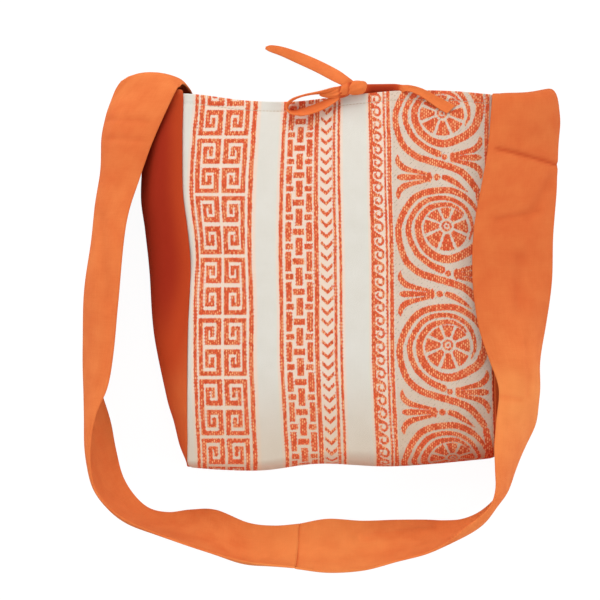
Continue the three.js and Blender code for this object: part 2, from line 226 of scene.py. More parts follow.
# Side edges of both panels: up the bag (0 at the bottom fold, 1 at the mouth), front left, front right,
# back left, back right, and the width of the side strip there
SIDES = np.array([
    (0.00, -148.5, 152.0, -149.0, 152.0, 5),
    (0.08, -149.0, 150.0, -150.5, 150.0, 26),
    (0.16, -149.0, 149.0, -152.0, 149.0, 42),
    (0.22, -149.0, 148.5, -154.0, 148.0, 49),
    (0.28, -149.0, 148.0, -157.0, 147.0, 59),
    (0.42, -148.5, 147.0, -165.0, 144.0, 76),
    (0.58, -146.0, 146.0, -173.0, 141.0, 83),
    (0.68, -149.0, 146.0, -179.5, 139.0, 83),
    (0.77, -153.5, 146.0, -183.0, 139.0, 83),
    (0.90, -154.0, 146.5, -170.0, 143.0, 83),
    (1.00, -153.5, 147.0, -151.0, 147.0, 83),
])
FRONT_LEFT, FRONT_RIGHT, BACK_LEFT, BACK_RIGHT, STRIP = 1, 2, 3, 4, 5

# Height of the front cloth: up the bag, left seam, rise of the middle above the seams, right seam
HEIGHTS = np.array([
    (0.00, 40, 0, 38),
    (0.13, 40, 1, 38),
    (0.30, 43, 4, 38),
    (0.55, 42, 4, 37),
    (0.80, 39, 0, 36),
    (1.00, 36, -8, 35),
])
# The bottom fold and the mouth edge: across the bag (0 at the left, 1 at the right), y
BOTTOM_EDGE = np.array([
    (0.0, -185), (0.1, -187.5), (0.24, -188), (0.42, -182.5), (0.66, -184), (0.82, -182), (1.0, -176.5),
])
MOUTH_EDGE = np.array([
    (0.0, 179.5), (0.06, 178.4), (0.14, 175.4), (0.2, 173.4), (0.3, 172.4),
    (0.38, 173.2), (0.52, 178.5), (0.7, 183.5), (0.87, 182.5), (1.0, 178.5),
])
# A dent beside the left seam: x, y, reach in x, reach in y, depth
DENT = (-140, 20, 24, 26, 4)
# The back hem drawn up towards the knot: x, reach in x, y where it starts, height
BACK_LIFT = (15, 55, 110, 7)

# The strips past the mouth: back edge x y z, front edge x y z, way the cloth bows x y z, width that lies open
LEFT_STRAP = np.array([
    (-147, 184, 9, -158, 182, 35, -1, 0.4, -0.5, 70),
    (-153, 190.5, 28, -180, 189, 28, -0.3, 1, -0.6, 36),
    (-157, 187, 36, -213, 196, 20, 0, 1, 0.6, 64.5),
    (-161, 179, 45, -229, 175, 4, -0.6, 0.2, 1, 83),
    (-181, 134, 47, -236, 142, 2, -0.7, 0, 0.7, 83),
    (-194, 96, 50, -232, 101, 2, -0.7, 0, 0.7, 77),
    (-206, 52, 58, -237, 55, 2, -0.8, 0, 0.6, 78),
    (-213, -20, 63, -247, -18, 2, -0.8, 0, 0.5, 80.5),
    (-217, -70, 67, -252, -58, 2, -0.9, 0, 0.5, 82),
    (-222, -102, 72, -246, -90, 2, -1, 0, 0.3, 83),
    (-232, -127, 76, -237, -115, 2, -1, -0.2, 0, 83),
    (-236.5, -152, 77, -229, -141, 2, -1, -0.3, 0, 83),
    (-237, -177, 77, -224, -168, 2, -1, -0.3, -0.2, 80),
    (-233.5, -197, 77, -217, -195, 2, -0.8, -0.5, -0.2, 79),
    (-222, -213, 77, -205, -215, 2, -0.6, -0.8, -0.2, 79),
    (-205, -226, 77, -190, -228, 2, -0.4, -1, -0.1, 79),
    (-180, -238, 76, -171, -232, 2, -0.2, -1, -0.1, 77),
    (-155, -249, 72, -149, -229, 3, -0.1, -1, -0.3, 75),
    (-128, -259, 66, -124, -229, 4, 0, -0.9, -0.5, 74),
    (-96, -268, 63, -92, -242, 3, 0, -0.9, -0.4, 73),
    (-70, -272, 64, -66, -245, 3, 0, -0.9, -0.4, 73),
    (-45 + JOIN_LAP, -275, 63, -40 + JOIN_LAP, -243, 3, 0, -0.9, -0.4, 73),
])
RIGHT_STRAP = np.array([
    (147.5, 178, 8, 152, 178, 34, 1, 0.1, -0.5, 70),
    (148, 177, 22, 178, 176, 27, 0.8, 0.3, -0.6, 42),
    (146, 178, 40, 208, 187, 19, 0.2, -0.3, 0.9, 70),
    (144, 159, 44, 216, 162, 15, 0.4, 0, 1, 83),
    (141, 125, 44, 215, 133, 15, 0.4, 0, 1, 83),
    (134, 86, 45, 212, 94, 24, 0.3, 0, 1, 83),
    (127, 45, 46, 207, 45, 31, 0.2, 0, 1, 83),
    (126, 0, 47, 206, 0, 30, 0.2, 0, 1, 83),
    (131, -42, 47, 201, -40, 26, 0.3, 0, 1, 83),
    (141, -76, 51, 196, -82, 16, 0.5, 0, 0.9, 78),
    (150, -105, 57, 197, -113, 5, 0.6, 0, 0.8, 77),
    (147, -134, 64, 195, -142, 2, 0.8, 0, 0.6, 81),
    (144, -158, 71, 184, -166, 2, 0.9, -0.1, 0.4, 83),
    (144, -179, 76, 172, -188, 2, 1, -0.3, 0.2, 82),
    (144, -198, 78, 162, -207, 2, 1, -0.5, 0, 80.6),
    (139, -213, 78.5, 151, -222, 2, 0.9, -0.9, 0, 79),
    (127.5, -224.5, 78, 137, -233, 2, 0.6, -1, 0, 79.4),
    (112, -236.5, 77, 121, -239, 2, 0.3, -1, -0.1, 78.5),
    (97, -249.5, 75, 104, -240, 2, 0.1, -1, -0.2, 76.6),
    (79, -259.5, 72, 84, -239, 3, 0, -1, -0.3, 75.6),
    (52, -267, 70, 56, -239, 4, 0, -0.9, -0.4, 76),
    (20, -277, 65, 22, -240, 4, 0, -0.9, -0.5, 75),
    (-12, -280, 61, -12, -238, 4, 0, -0.9, -0.5, 74),
    (-45, -275, 63, -40, -243, 3, 0, -0.9, -0.4, 73),
])

# The tie's ribbons: middle x y z, the way the width lies x y z, width, and how far the middle stands off the
# edges
TAIL_LEFT = np.array([
    (10, 188.5, 36.5, 0.5, 0.85, -0.2, 9, 0.5),
    (2, 193.5, 36, 0.5, 0.85, -0.2, 11, 1.2),
    (-6, 199.5, 29, 0.5, 0.85, 0, 12, 1.4),
    (-22, 211, 13, 0.5, 0.85, 0, 12, 1.0),
    (-40, 221, 3, 0.45, 0.9, 0, 11.5, 0.6),
    (-57, 228, 1.2, 0.3, 0.95, 0, 9.5, 0.4),
    (-69, 231.2, 1.2, 0.25, 1, 0, 7, 0.3),
    (-74.5, 231.8, 1.2, 0.2, 1, 0, 2.6, 0.1),
])
LOOP = np.array([
    (-2, 183, 37, 0.1, 0.9, 0.4, 9, 0.6),
    (-20, 181.3, 38, 0, 0.08, 1, 11, 0.4),
    (-36, 178.6, 37.5, 0, -0.08, 1, 12, 0.3),
    (-48, 174, 37, -0.1, -0.05, 1, 12, 0.3),
    (-53, 167, 37, -0.16, 0, 1, 12, 0.3),
    (-48, 162, 36.5, 0, -0.4, 0.9, 12, 0.3),
    (-33, 163.5, 35.5, 0.2, -0.7, 0.7, 12, 0.5),
    (-16, 170, 35, 0.3, -0.75, 0.6, 10.5, 0.6),
    (-3, 177.5, 35, 0.3, -0.7, 0.6, 8, 0.6),
])
TAIL_RIGHT = np.array([
    (20, 185.5, 27, 0.1, 1, 0.2, 11, -1.5),
    (30, 186.2, 20.5, 0, 1, 0, 12, -2.5),
    (42, 186.4, 20, 0, 1, 0, 12, -2.5),
    (53, 186.6, 22, 0, 1, 0.1, 11, -2.2),
    (60, 186, 28, 0.2, 0.9, 0.2, 8.5, -1.5),
    (66, 186, 34.5, 0.45, 0.85, 0.1, 6.5, 0.4),
    (77, 182.2, 36, 0.5, 0.85, 0, 7.5, 0.8),
    (89.5, 175, 35, 0.5, 0.86, 0, 9, 0.8),
    (99, 169.3, 35, 0.5, 0.86, 0, 10.5, 0.5),
    (107, 165, 35.2, 0.7, 0.7, 0, 10.5, 0.2),
])
ROOT_FRONT = np.array([
    (33, 173, 20.5, 1, 0, 0.1, 9, 0.6),
    (32, 179, 17.5, 1, 0.2, 0, 9, 0.6),
    (28, 183, 17.5, 0.8, 0.5, 0, 8, 0.6),
    (21, 184.5, 26, 0.4, 0.8, 0.3, 7, 0.6),
])
ROOT_BACK = np.array([
    (16, 170, 10, 1, 0, 0, 9, 0.8),
    (16, 180, 11, 1, 0, 0, 9, 0.8),
    (15, 186, 17, 1, 0, 0, 9, 0.8),
    (14, 187, 25, 1, 0, 0, 9, 0.8),
])

# Where the woven bands lie in the photograph: pixel row, then the pixel columns of the key band's left edge,
# its right edge, the basket band's left edge, the arrowheads' right edge, the wave band's left edge, the
# rosettes' middle and the border line's middle
BAND_LINES = np.array([
    (104, 196, 258.5, 284, 340.5, 368, 441.5, 487.5),
    (140, 192.5, 256, 281.5, 340, 369, 443.5, 486.5),
    (190, 190, 253, 279.5, 340.5, 369.5, 445.5, 487.5),
    (250, 196, 252, 278.5, 342, 371, 447.5, 491),
    (305, 194, 254, 279.5, 342.5, 371.5, 448, 493),
    (360, 194, 254, 280, 343, 372, 448.5, 493.5),
    (400, 195, 255.5, 282, 344.5, 373.5, 450, 494.5),
    (458, 198, 258, 285.5, 346.5, 376.5, 453, 497),
])
# The weaver's chart has one unit for each pixel of the photograph, and its lines are the ones of row 305.
# Round the bottom and on the back, which the camera doesn't see from above, a unit is this long
CHART_ROW = 4
CHART_UNIT = 0.968
# The chart on the back: column at the left edge, columns across, row at the bottom fold
BACK_CHART = (188.8, 303.4, 490.0)
# How far the woven rows wander from the chart: pixel row, key, basket, arrowheads, wave, spirals
ROW_WANDER = np.array([
    (96, -1, -16, -8, -2.5, -5),
    (140, 0, -9, -5, -1, -3),
    (196, 2, -2, 0, 2, -0.5),
    (226, 2, -0.5, 0, 1.5, 0.5),
    (256, 0, 0.5, -0.5, 0.5, -1),
    (285, 0.5, 0.5, -1, 0, -1),
    (316, -1, 1, -1, 0.5, 0),
    (375, -2.5, 1.5, -1, 0, -2),
    (409, -3, 2, -1, -0.5, -1.5),
    (450, -2, 3, 0, 0, 0),
])
# Chart columns at which the next band's rows begin
BAND_STARTS = (262, 317, 366, 395)


def through(table, column, at):
    """A smooth line through one column of a table, placed by its first column: cubic pieces whose slope at
    each row is that of its neighbours.
    """
    places, values = table[:, 0], table[:, column]
    rows = np.arange(len(places))
    low, high = np.maximum(rows - 1, 0), np.minimum(rows + 1, len(places) - 1)
    slope = (values[high] - values[low]) / (places[high] - places[low])
    i = np.clip(np.searchsorted(places, at) - 1, 0, len(places) - 2)
    step = places[i + 1] - places[i]
    t = (at - places[i]) / step
    rise = values[i + 1] - values[i]
    leave = slope[i] * step - rise
    arrive = rise - slope[i + 1] * step
    return values[i] + t * rise + t * (1 - t) * ((1 - t) * leave + t * arrive)


def columns_at(table, at):
    """Every column of a table but the first, at places that are kept within the table."""
    at = np.clip(at, table[0, 0], table[-1, 0])
    return [through(table, k, at) for k in range(1, table.shape[1])]


def rail(rows, at):
    """A smooth curve through points, with the slope of the neighbours: at grows by 1 from point to point."""
    rows = np.asarray(rows, float)
    slope = np.gradient(rows, axis=0)
    i = np.clip(np.floor(at).astype(int), 0, len(rows) - 2)
    t = (at - i)[:, None]
    rise = rows[i + 1] - rows[i]
    return rows[i] + t * rise + t * (1 - t) * ((1 - t) * (slope[i] - rise) + t * (rise - slope[i + 1]))


def bell(distance, reach):
    """A smooth bump, 1 at distance 0."""
    return np.exp(-(distance / reach) ** 2)


def ease(value, low, high):
    """0 below low, 1 above high and smooth between."""
    t = np.clip((value - low) / (high - low), 0, 1)
    return t * t * (3 - 2 * t)


def unit(vectors):
    """Vectors cut to length 1."""
    return vectors / np.maximum(np.linalg.norm(vectors, axis=-1, keepdims=True), 1e-9)


def normals(points):
    """Normals of a grid of points: the way along its rows crossed with the way from row to row."""
    return unit(np.cross(np.gradient(points, axis=1), np.gradient(points, axis=0)))


def lengths(points):
    """Distance along each line of points, from its first one."""
    steps = np.linalg.norm(np.diff(points, axis=0), axis=-1)
    return np.concatenate([np.zeros((1,) + steps.shape[1:]), np.cumsum(steps, axis=0)])


def grid_faces(rows, columns, closed=False, start=0):
    """Quads between neighbours of a grid kept row after row; closed joins the last column to the first."""
    i = np.arange(columns if closed else columns - 1)
    here = start + columns * np.arange(rows - 1)[:, None] + i
    beside = start + columns * np.arange(rows - 1)[:, None] + (i + 1) % columns
    return np.stack([here, beside, beside + columns, here + columns], axis=-1).reshape(-1, 4)


def make_piece(name, points, quads, rims=(), uv=None, values=None):
    """A mesh object from points in millimetres, quads and a few many-sided rim faces.

    uv gives each point its place on the flat cloth in millimetres, and values are named numbers that the
    cloth's finish reads.
    """
    mesh = bpy.data.meshes.new(name)
    corners = np.concatenate([np.asarray(quads).ravel()] + [np.asarray(rim) for rim in rims]).astype(np.int32)
    sides = np.concatenate([np.full(len(quads), 4), [len(rim) for rim in rims]]).astype(np.int32)
    mesh.vertices.add(len(points))
    mesh.vertices.foreach_set("co", (np.asarray(points) * MM).astype(np.float32).ravel())
    mesh.loops.add(len(corners))
    mesh.loops.foreach_set("vertex_index", corners)
    mesh.polygons.add(len(sides))
    mesh.polygons.foreach_set("loop_start", (np.cumsum(sides) - sides).astype(np.int32))
    mesh.update(calc_edges=True)
    mesh.validate()
    mesh.shade_smooth()
    if uv is not None:
        layer = mesh.uv_layers.new(name="cloth")
        layer.data.foreach_set("uv", (np.asarray(uv)[corners] * CLOTH_UNIT).astype(np.float32).ravel())
    for key, numbers in (values or {}).items():
        attribute = mesh.attributes.new(key, "FLOAT", "POINT")
        attribute.data.foreach_set("value", np.asarray(numbers, np.float32).ravel())
    obj = bpy.data.objects.new(name, mesh)
    bpy.context.scene.collection.objects.link(obj)
    return obj


def put_on(obj, material, slot, *nodes):
    """The piece gets its finish, takes the place of its plain solids and stays with the bag."""
    obj.data.materials.append(material)
    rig.ride(obj, "root")
    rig.slot(obj, slot)
    if nodes:
        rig.replaces(obj, *nodes)
    return obj


def bottom_turn(up):
    """How far the cloth has turned round the bottom: a quarter turn over the rounded share."""
    return np.clip(up / ROUND_SHARE, 0, 1) * np.pi / 2


def place_along(across, up):
    """How far up the bag the cloth is: a quarter round at the bottom first, then straight to the mouth."""
    low, top = through(BOTTOM_EDGE, 1, across), through(MOUTH_EDGE, 1, across)
    share = np.clip((up - ROUND_SHARE) / (1 - ROUND_SHARE), 0, 1)
    reach = ROUND_LEFT + (ROUND_RIGHT - ROUND_LEFT) * across
    return low + reach * (1 - np.cos(bottom_turn(up))) + share * (top - low - reach)


def front_middle(across, up):
    """Middle of the front cloth: lines between the side seams, raised by the crown, less the dent."""
    across, up = np.broadcast_arrays(across, up)
    x = through(SIDES, FRONT_LEFT, up) * (1 - across) + through(SIDES, FRONT_RIGHT, up) * across
    y = place_along(across, up)
    left, crown, right = columns_at(HEIGHTS, up)
    full = left * (1 - across) + right * across + 4 * across * (1 - across) * crown
    dent_x, dent_y, reach_x, reach_y, depth = DENT
    dent = depth * bell(x - dent_x, reach_x) * bell(y - dent_y, reach_y)
    z = BOTTOM_HEIGHT + (full - BOTTOM_HEIGHT - dent) * np.sin(bottom_turn(up))
    return np.stack([x, y, z], axis=-1)


def back_middle(across, up):
    """Middle of the back cloth: flat, apart from the hem that the tie draws up."""
    across, up = np.broadcast_arrays(across, up)
    x = through(SIDES, BACK_LEFT, up) * (1 - across) + through(SIDES, BACK_RIGHT, up) * across
    y = place_along(across, up)
    lift_x, reach_x, start, height = BACK_LIFT
    run = np.clip((y - start) / (through(MOUTH_EDGE, 1, across) - start), 0, 1)
    lift = height * run**2 * bell(x - lift_x, reach_x)
    return np.stack([x, y, PANEL_THICK / 2 + lift], axis=-1)


def seen_at(points):
    """Pixel column and row at which the photograph's camera sees points."""
    scale = CAMERA[2] / (CAMERA[2] - points[..., 2]) * FRAME_PIXELS / FRAME_WIDTH
    column = FRAME_PIXELS / 2 + (points[..., 0] - CAMERA[0]) * scale
    row = FRAME_PIXELS / 2 - (points[..., 1] - CAMERA[1]) * scale
    return column, row


def chart_column(column, row):
    """The chart's column for a pixel: straight pieces between the band lines at that pixel row."""
    lines = columns_at(BAND_LINES, row)
    chart = BAND_LINES[CHART_ROW, 1:]
    placed = column - lines[0] + chart[0]
    for k in range(len(chart) - 1):
        share = (column - lines[k]) / (lines[k + 1] - lines[k])
        placed = np.where(share >= 0, chart[k] + share * (chart[k + 1] - chart[k]), placed)
    return np.where(column >= lines[-1], column - lines[-1] + chart[-1], placed)


def chart_row(column, row):
    """The chart's row for a pixel row: shifted by the wander of the band that the chart's column is in."""
    return row + np.choose(np.searchsorted(BAND_STARTS, column), columns_at(ROW_WANDER, row))


# The chart. Each motif is a height above or below its own outline, in chart units: above 0 is thread.


def bar(place, low, high):
    """Height above the nearer edge of a bar."""
    return np.minimum(place - low, high - place)


def block(a, b, left, right, top, bottom):
    """Height above the nearest edge of a block, where two bars cross."""
    return np.minimum(bar(a, left, right), bar(b, top, bottom))


def either(*motifs):
    """Motifs joined: the highest of them."""
    return np.maximum.reduce(motifs)


def bars(place, edges):
    """Bars side by side, each by its low and high edge."""
    return either(*[bar(place, low, high) for low, high in edges])


def repeated(place, pitch):
    """Place within a pattern's pitch, from minus half of it to plus half."""
    return np.mod(place + pitch / 2, pitch) - pitch / 2


def stroke(a, b, rows):
    """A drawn line through rows of (column, row, width): the nearest of its tapering pieces."""
    rows = np.asarray(rows, float)
    last = len(rows) - 1
    fine = rail(rows, np.linspace(0, last, STROKE_STEPS * last + 1))
    nearest = np.full(np.shape(a), -1e3)
    for (a0, b0, w0), (a1, b1, w1) in zip(fine[:-1], fine[1:]):
        run_a, run_b = a1 - a0, b1 - b0
        share = ((a - a0) * run_a + (b - b0) * run_b) / max(run_a**2 + run_b**2, 1e-9)
        share = np.clip(share, 0, 1)
        gap = np.hypot(a - a0 - share * run_a, b - b0 - share * run_b)
        nearest = np.maximum(nearest, (w0 + share * (w1 - w0)) / 2 - gap)
    return nearest


def around(rows):
    """Rows of (angle in degrees, radius, width) about a centre as rows of (column, row, width)."""
    angle, radius, width = np.asarray(rows, float).T
    turn = np.radians(angle)
    return np.stack([radius * np.cos(turn), -radius * np.sin(turn), width], axis=-1)


# The key: pitch, a row between two blocks, middle column, half the gap between a block's left and right half,
# width of each half, and half a block's height
KEY_PITCH, KEY_LINE = 59.5, 256.0
KEY_MIDDLE, KEY_GAP, KEY_REACH = 222.6, 1.4, 22.3
KEY_BLOCK = 28.0
# One quarter of the key, from its outer corner: left, right, top and bottom of each bar
KEY_BARS = (
    (0, 4, 0, 40),
    (0, KEY_REACH, 0, 4.2),
    (17.7, KEY_REACH, 0, 25.8),
    (6.2, KEY_REACH, 21, 25.8),
    (6.2, 9.7, 8, 25.8),
    (6.2, 15.2, 8, 11.4),
    (11.7, 15.2, 8, 18),
)
KEY_LINES = ((193.8, 196.8), (249.3, 253.3))


def key_band(a, b):
    """Greek key: one quarter, folded left to right and top to bottom, between two upright lines."""
    along = np.mod(b - KEY_LINE, KEY_PITCH)
    down = KEY_BLOCK - np.abs(along - KEY_PITCH / 2)
    inward = KEY_REACH + KEY_GAP - np.abs(a - KEY_MIDDLE)
    return either(*[block(inward, down, *edges) for edges in KEY_BARS], bars(a, KEY_LINES))


# The basket: pitch, and the row of a short bar
BASKET_PITCH, BASKET_SHORT = 30.42, 307.6
# Basket columns: left, right, left and right of the short bars, half height of the short and long bars, and
# how far down the rows begin, in pitches
BASKET_COLUMNS = (
    (286.2, 292, 286.2, 294, 3, 9.95, 0),
    (296.3, 303.2, 293.4, 305, 3.2, 8.95, 0.5),
    (307, 313, 305.4, 313, 3, 9.95, 0),
)
BASKET_LINES = ((279.6, 283.3), (314.8, 319.3), (334.4, 337.2), (339.8, 342.4))
# How much finer than its bars the basket band is woven
BASKET_FINE = 0.12
# The arrowheads: pitch, row of a point, middle column, left and right edge, thickness
CHEVRON_PITCH, CHEVRON_POINT, CHEVRON_MIDDLE = 10.88, 304.8, 327.3
CHEVRON_EDGES, CHEVRON_THICK = (321.5, 333.1), 4.7
# Distance from a slanted edge for each unit along the column
SLANTED = 0.7


def basket_band(a, b):
    """Basket columns of long and short bars, then a column of arrowheads, with upright lines between."""
    columns = []
    for left, right, short_left, short_right, short, long, shift in BASKET_COLUMNS:
        along = repeated(b - BASKET_SHORT - shift * BASKET_PITCH, BASKET_PITCH)
        from_long = np.abs(np.abs(along) - BASKET_PITCH / 2)
        columns.append(np.minimum(bar(a, left, right), long - from_long))
        columns.append(block(a, along, short_left, short_right, -short, short))
    height = b + np.abs(a - CHEVRON_MIDDLE) - CHEVRON_POINT
    arrow = np.mod(height, CHEVRON_PITCH) - (CHEVRON_PITCH - CHEVRON_THICK)
    arrows = np.minimum(bar(arrow, 0, CHEVRON_THICK) * SLANTED, bar(a, *CHEVRON_EDGES))
    return either(*columns, arrows, bars(a, BASKET_LINES)) - BASKET_FINE


# The wave: pitch, row of a curl's centre, and the curl by column, row from its centre and width
WAVE_PITCH, WAVE_CENTRE = 13.2, 307.6
WAVE_CURL = [
    (374.8, -6.4, 5.6), (377.2, -5.2, 4.2), (380.2, -4.6, 2.8), (382.8, -3.2, 2.2), (383.9, -0.2, 2.2),
    (383.0, 2.6, 2.2), (380.8, 3.8, 2.3), (378.4, 2.6, 2.1), (377.3, 0.4, 1.7), (378.4, -1.2, 1.2),
]
WAVE_LINES = ((371.8, 375.2), (386.6, 388.5), (390.3, 393.8))


def wave_band(a, b):
    """Running wave: one curl in each pitch, growing out of an upright line, and two lines beside it."""
    along = repeated(b - WAVE_CENTRE, WAVE_PITCH)
    curls = [stroke(a, along + shift, WAVE_CURL) for shift in (-WAVE_PITCH, 0, WAVE_PITCH)]
    return either(*curls, bars(a, WAVE_LINES))


# The rosettes: pitch, column and row of a hub, and the column from which their band is woven
ROSETTE_PITCH, ROSETTE_COLUMN, ROSETTE_ROW = 117.5, 447.9, 344.1
SPIRALS_FROM = 395.5
# The wheel of petals: number, half width and height, how far it lies left of and below the hub, inner radius
PETALS = 8
WHEEL_WIDE, WHEEL_HIGH, WHEEL_LEFT, WHEEL_DOWN = 22.4, 21.0, 0.4, 2.2
PETALS_FROM = 7.8
# Half the gap between two petals at the centre, and how it widens outward
GAP_HALF, GAP_WIDENS = 0.8, 0.045
HUB_RING, HUB_BEAD = (3.3, 5.1), 1.3
# The arms round each rosette: angle up from the right, radius, width
INNER_ARM = around([
    (35, 22.3, 0.8), (60, 22.2, 2.2), (90, 22.4, 3.4), (135, 25.2, 4.8), (180, 28.9, 5.7), (225, 30.4, 6.4),
    (270, 31.7, 6.9), (322, 34, 7.2), (349, 36.4, 7.4), (372, 38.6, 6.8), (388, 42, 6), (402, 47.6, 5.4),
])
MIDDLE_ARM = around([
    (-28, 26.3, 0.8), (0, 27, 2.4), (45, 27.6, 3.2), (90, 29, 3.5), (135, 33.4, 4.2), (180, 38.4, 4.4),
    (215, 39.6, 4.6), (243, 40.4, 5.2), (262, 42.6, 6.2),
])
OUTER_ARM = around([
    (16, 35.4, 0.8), (34, 36.2, 3.4), (60, 36.4, 5.2), (90, 37.3, 5.7), (135, 42.6, 5.6), (180, 48, 5.2),
])
# From the outer arm's left side down past this rosette to the right side of the next one: column, row, width
CROSSING = np.array([
    (-43.6, 29, 5.4), (-30.6, 43.6, 5.8), (-15.3, 49.7, 6.2), (0, 54.3, 6.2), (11.5, 58.1, 6.2),
    (19.5, 62.6, 6.4), (26.5, 69.8, 6.2), (33.5, 80, 5.6),
])
ARMS = (INNER_ARM, MIDDLE_ARM, np.concatenate([OUTER_ARM, CROSSING]))
# A palmette opening to the left from its cap: column, row, width
PALMETTE_HEART = [(-6.6, 0, 3.4), (-15, 0, 4.6), (-24, 0, 5.9), (-30, 0, 6.4), (-33.2, 0, 4.6)]
PALMETTE_LEAF = [
    (-6.0, -3.7, 2.9), (-12, -5.1, 3.7), (-19, -6.6, 4.4), (-27.5, -9.2, 6.0), (-33, -14, 5.6),
    (-34.6, -19, 3.8), (-34.2, -23, 0.8),
]
# The cap: radius, how far left of the palmette's root it lies, share of its height that counts
CAP_SIZE, CAP_LEFT, CAP_SHARE = 2.8, 3.0, 0.56
LEFT_PALMETTE, RIGHT_PALMETTE = (-13.0, -50.8), (6.0, 46.2)
RIGHT_SIZE = 0.94
# How much fuller than their rows the arms and the right palmettes are woven
ARM_FULL, RIGHT_FULL = 0.4, 0.25
BEADS = ((-8.2, -50.8, 3.3), (0.4, 45.7, 2.9))
BORDER = (491, 495)
DROP_LEAF = [(-0.2, -50.4, 5.8), (6.5, -47.8, 6.0), (15, -42.2, 4.4), (23.5, -35.4, 1.0)]


def palmette(a, b):
    """A heart leaf between two curling leaves that spring from a rounded cap."""
    cap = CAP_SIZE - np.hypot(a + CAP_LEFT, b * CAP_SHARE)
    return either(stroke(a, b, PALMETTE_HEART), stroke(a, np.where(b > 0, -b, b), PALMETTE_LEAF), cap)


def rosette(a, b):
    """A wheel of petals, a little below the hub's middle, round a hub of rings with a bead at its centre."""
    radius = np.hypot(a, b)
    turn = np.arctan2(b, a) * PETALS / (2 * np.pi)
    spoke = np.abs(turn - np.round(turn - 0.5) - 0.5) * 2 * np.pi / PETALS * radius
    rim = WHEEL_WIDE * (1 - np.hypot((a + WHEEL_LEFT) / WHEEL_WIDE, (b - WHEEL_DOWN) / WHEEL_HIGH))
    petals = np.minimum.reduce([radius - PETALS_FROM, rim, spoke - GAP_HALF - GAP_WIDENS * radius])
    return either(petals, bar(radius, *HUB_RING), HUB_BEAD - radius)


def spiral_band(a, b):
    """Rosettes joined by running spirals, with palmettes, beads and drop-shaped leaves, and a border line."""
    column = a - ROSETTE_COLUMN
    along = repeated(b - ROSETTE_ROW, ROSETTE_PITCH)
    motifs = [bar(a, *BORDER)]
    for shift in (-ROSETTE_PITCH, 0, ROSETTE_PITCH):
        row = along - shift
        motifs += [rosette(column, row), stroke(column, row, DROP_LEAF)]
        motifs += [stroke(column, row, arm) + ARM_FULL for arm in ARMS]
        motifs.append(palmette(column - LEFT_PALMETTE[0], row - LEFT_PALMETTE[1]))
        right = palmette((RIGHT_PALMETTE[0] - column) / RIGHT_SIZE, (row - RIGHT_PALMETTE[1]) / RIGHT_SIZE)
        motifs.append(right + RIGHT_FULL)
        motifs += [size - np.hypot(column - x, row - y) for x, y, size in BEADS]
    return np.minimum(either(*motifs), a - SPIRALS_FROM)


# Heights are kept to this much above and below the outlines
MOTIF_DEPTH = 4.0
# The bands and the chart columns that they are kept to
WOVEN_BANDS = (
    (key_band, 190, 258), (basket_band, 275, 347), (wave_band, 367, 396), (spiral_band, 390, np.inf),
)


def motif_height(a, b):
    """All the bands side by side, each kept to its own columns."""
    motif = np.full(a.shape, -MOTIF_DEPTH)
    for band, low, high in WOVEN_BANDS:
        here = (a > low) & (a < high)
        motif[here] = np.maximum(motif[here], band(a[here], b[here]))
    return np.clip(motif, -MOTIF_DEPTH, MOTIF_DEPTH)


# Chart columns of the tinted grounds and of the beige one, and the half widths of their soft edges
TINTED_GROUNDS, TINT_SOFT = ((191.5, 257), (277, 345), (369.5, 394.5)), 1.2
BEIGE_FROM, BEIGE_SOFT = 394.5, 1.0
# Pixel rows from which the cloth is warmer in colour towards the bottom, and how far that goes on at the back
WARM_FROM, WARM_FULL, WARM_BACK = 350, 470, 60.0


def walled(face, lining, rows, columns):
    """A cloth with a fine face, a coarse lining at some rows and columns, and rims that close its edges."""
    fine_rows, fine_columns = face.shape[:2]
    start = fine_rows * fine_columns
    quads = np.concatenate([
        grid_faces(fine_rows, fine_columns),
        grid_faces(len(rows), len(columns), start=start)[:, ::-1],
    ])
    index = np.arange(start).reshape(fine_rows, fine_columns)
    inner = start + np.arange(len(rows) * len(columns)).reshape(len(rows), len(columns))
    rims = []
    for k, (low, high) in enumerate(zip(rows[:-1], rows[1:])):
        rims.append([*index[low:high + 1, 0], inner[k + 1, 0], inner[k, 0]])
        rims.append([*index[low:high + 1, -1][::-1], inner[k, -1], inner[k + 1, -1]])
    for k, (low, high) in enumerate(zip(columns[:-1], columns[1:])):
        rims.append([*index[0, low:high + 1][::-1], inner[0, k], inner[0, k + 1]])
        rims.append([*index[-1, low:high + 1], inner[-1, k + 1], inner[-1, k]])
    points = np.concatenate([face.reshape(-1, 3), lining.reshape(-1, 3)])
    return points, quads, rims


def every(count, step):
    """Indices from 0 to count - 1, about step apart, with both ends."""
    return np.unique(np.round(np.linspace(0, count - 1, max(count // step, 2) + 1)).astype(int))


def cloth_ripple(x, y):
    """Slight unevenness of handled cloth: three slow waves that cross, the first bent by a slower one."""
    return (
        0.45 * np.sin(x / 31 + 0.7 * np.sin(y / 57)) * np.sin(y / 44 + 0.4)
        + 0.25 * np.sin(x / 17 - y / 39 + 1.1)
        + 0.18 * np.sin(x / 23 + y / 19 + 2.3)
    )


# Turns, in degrees, at which the fold of the hem has points
FOLD_TURNS = (30, 60, 90)


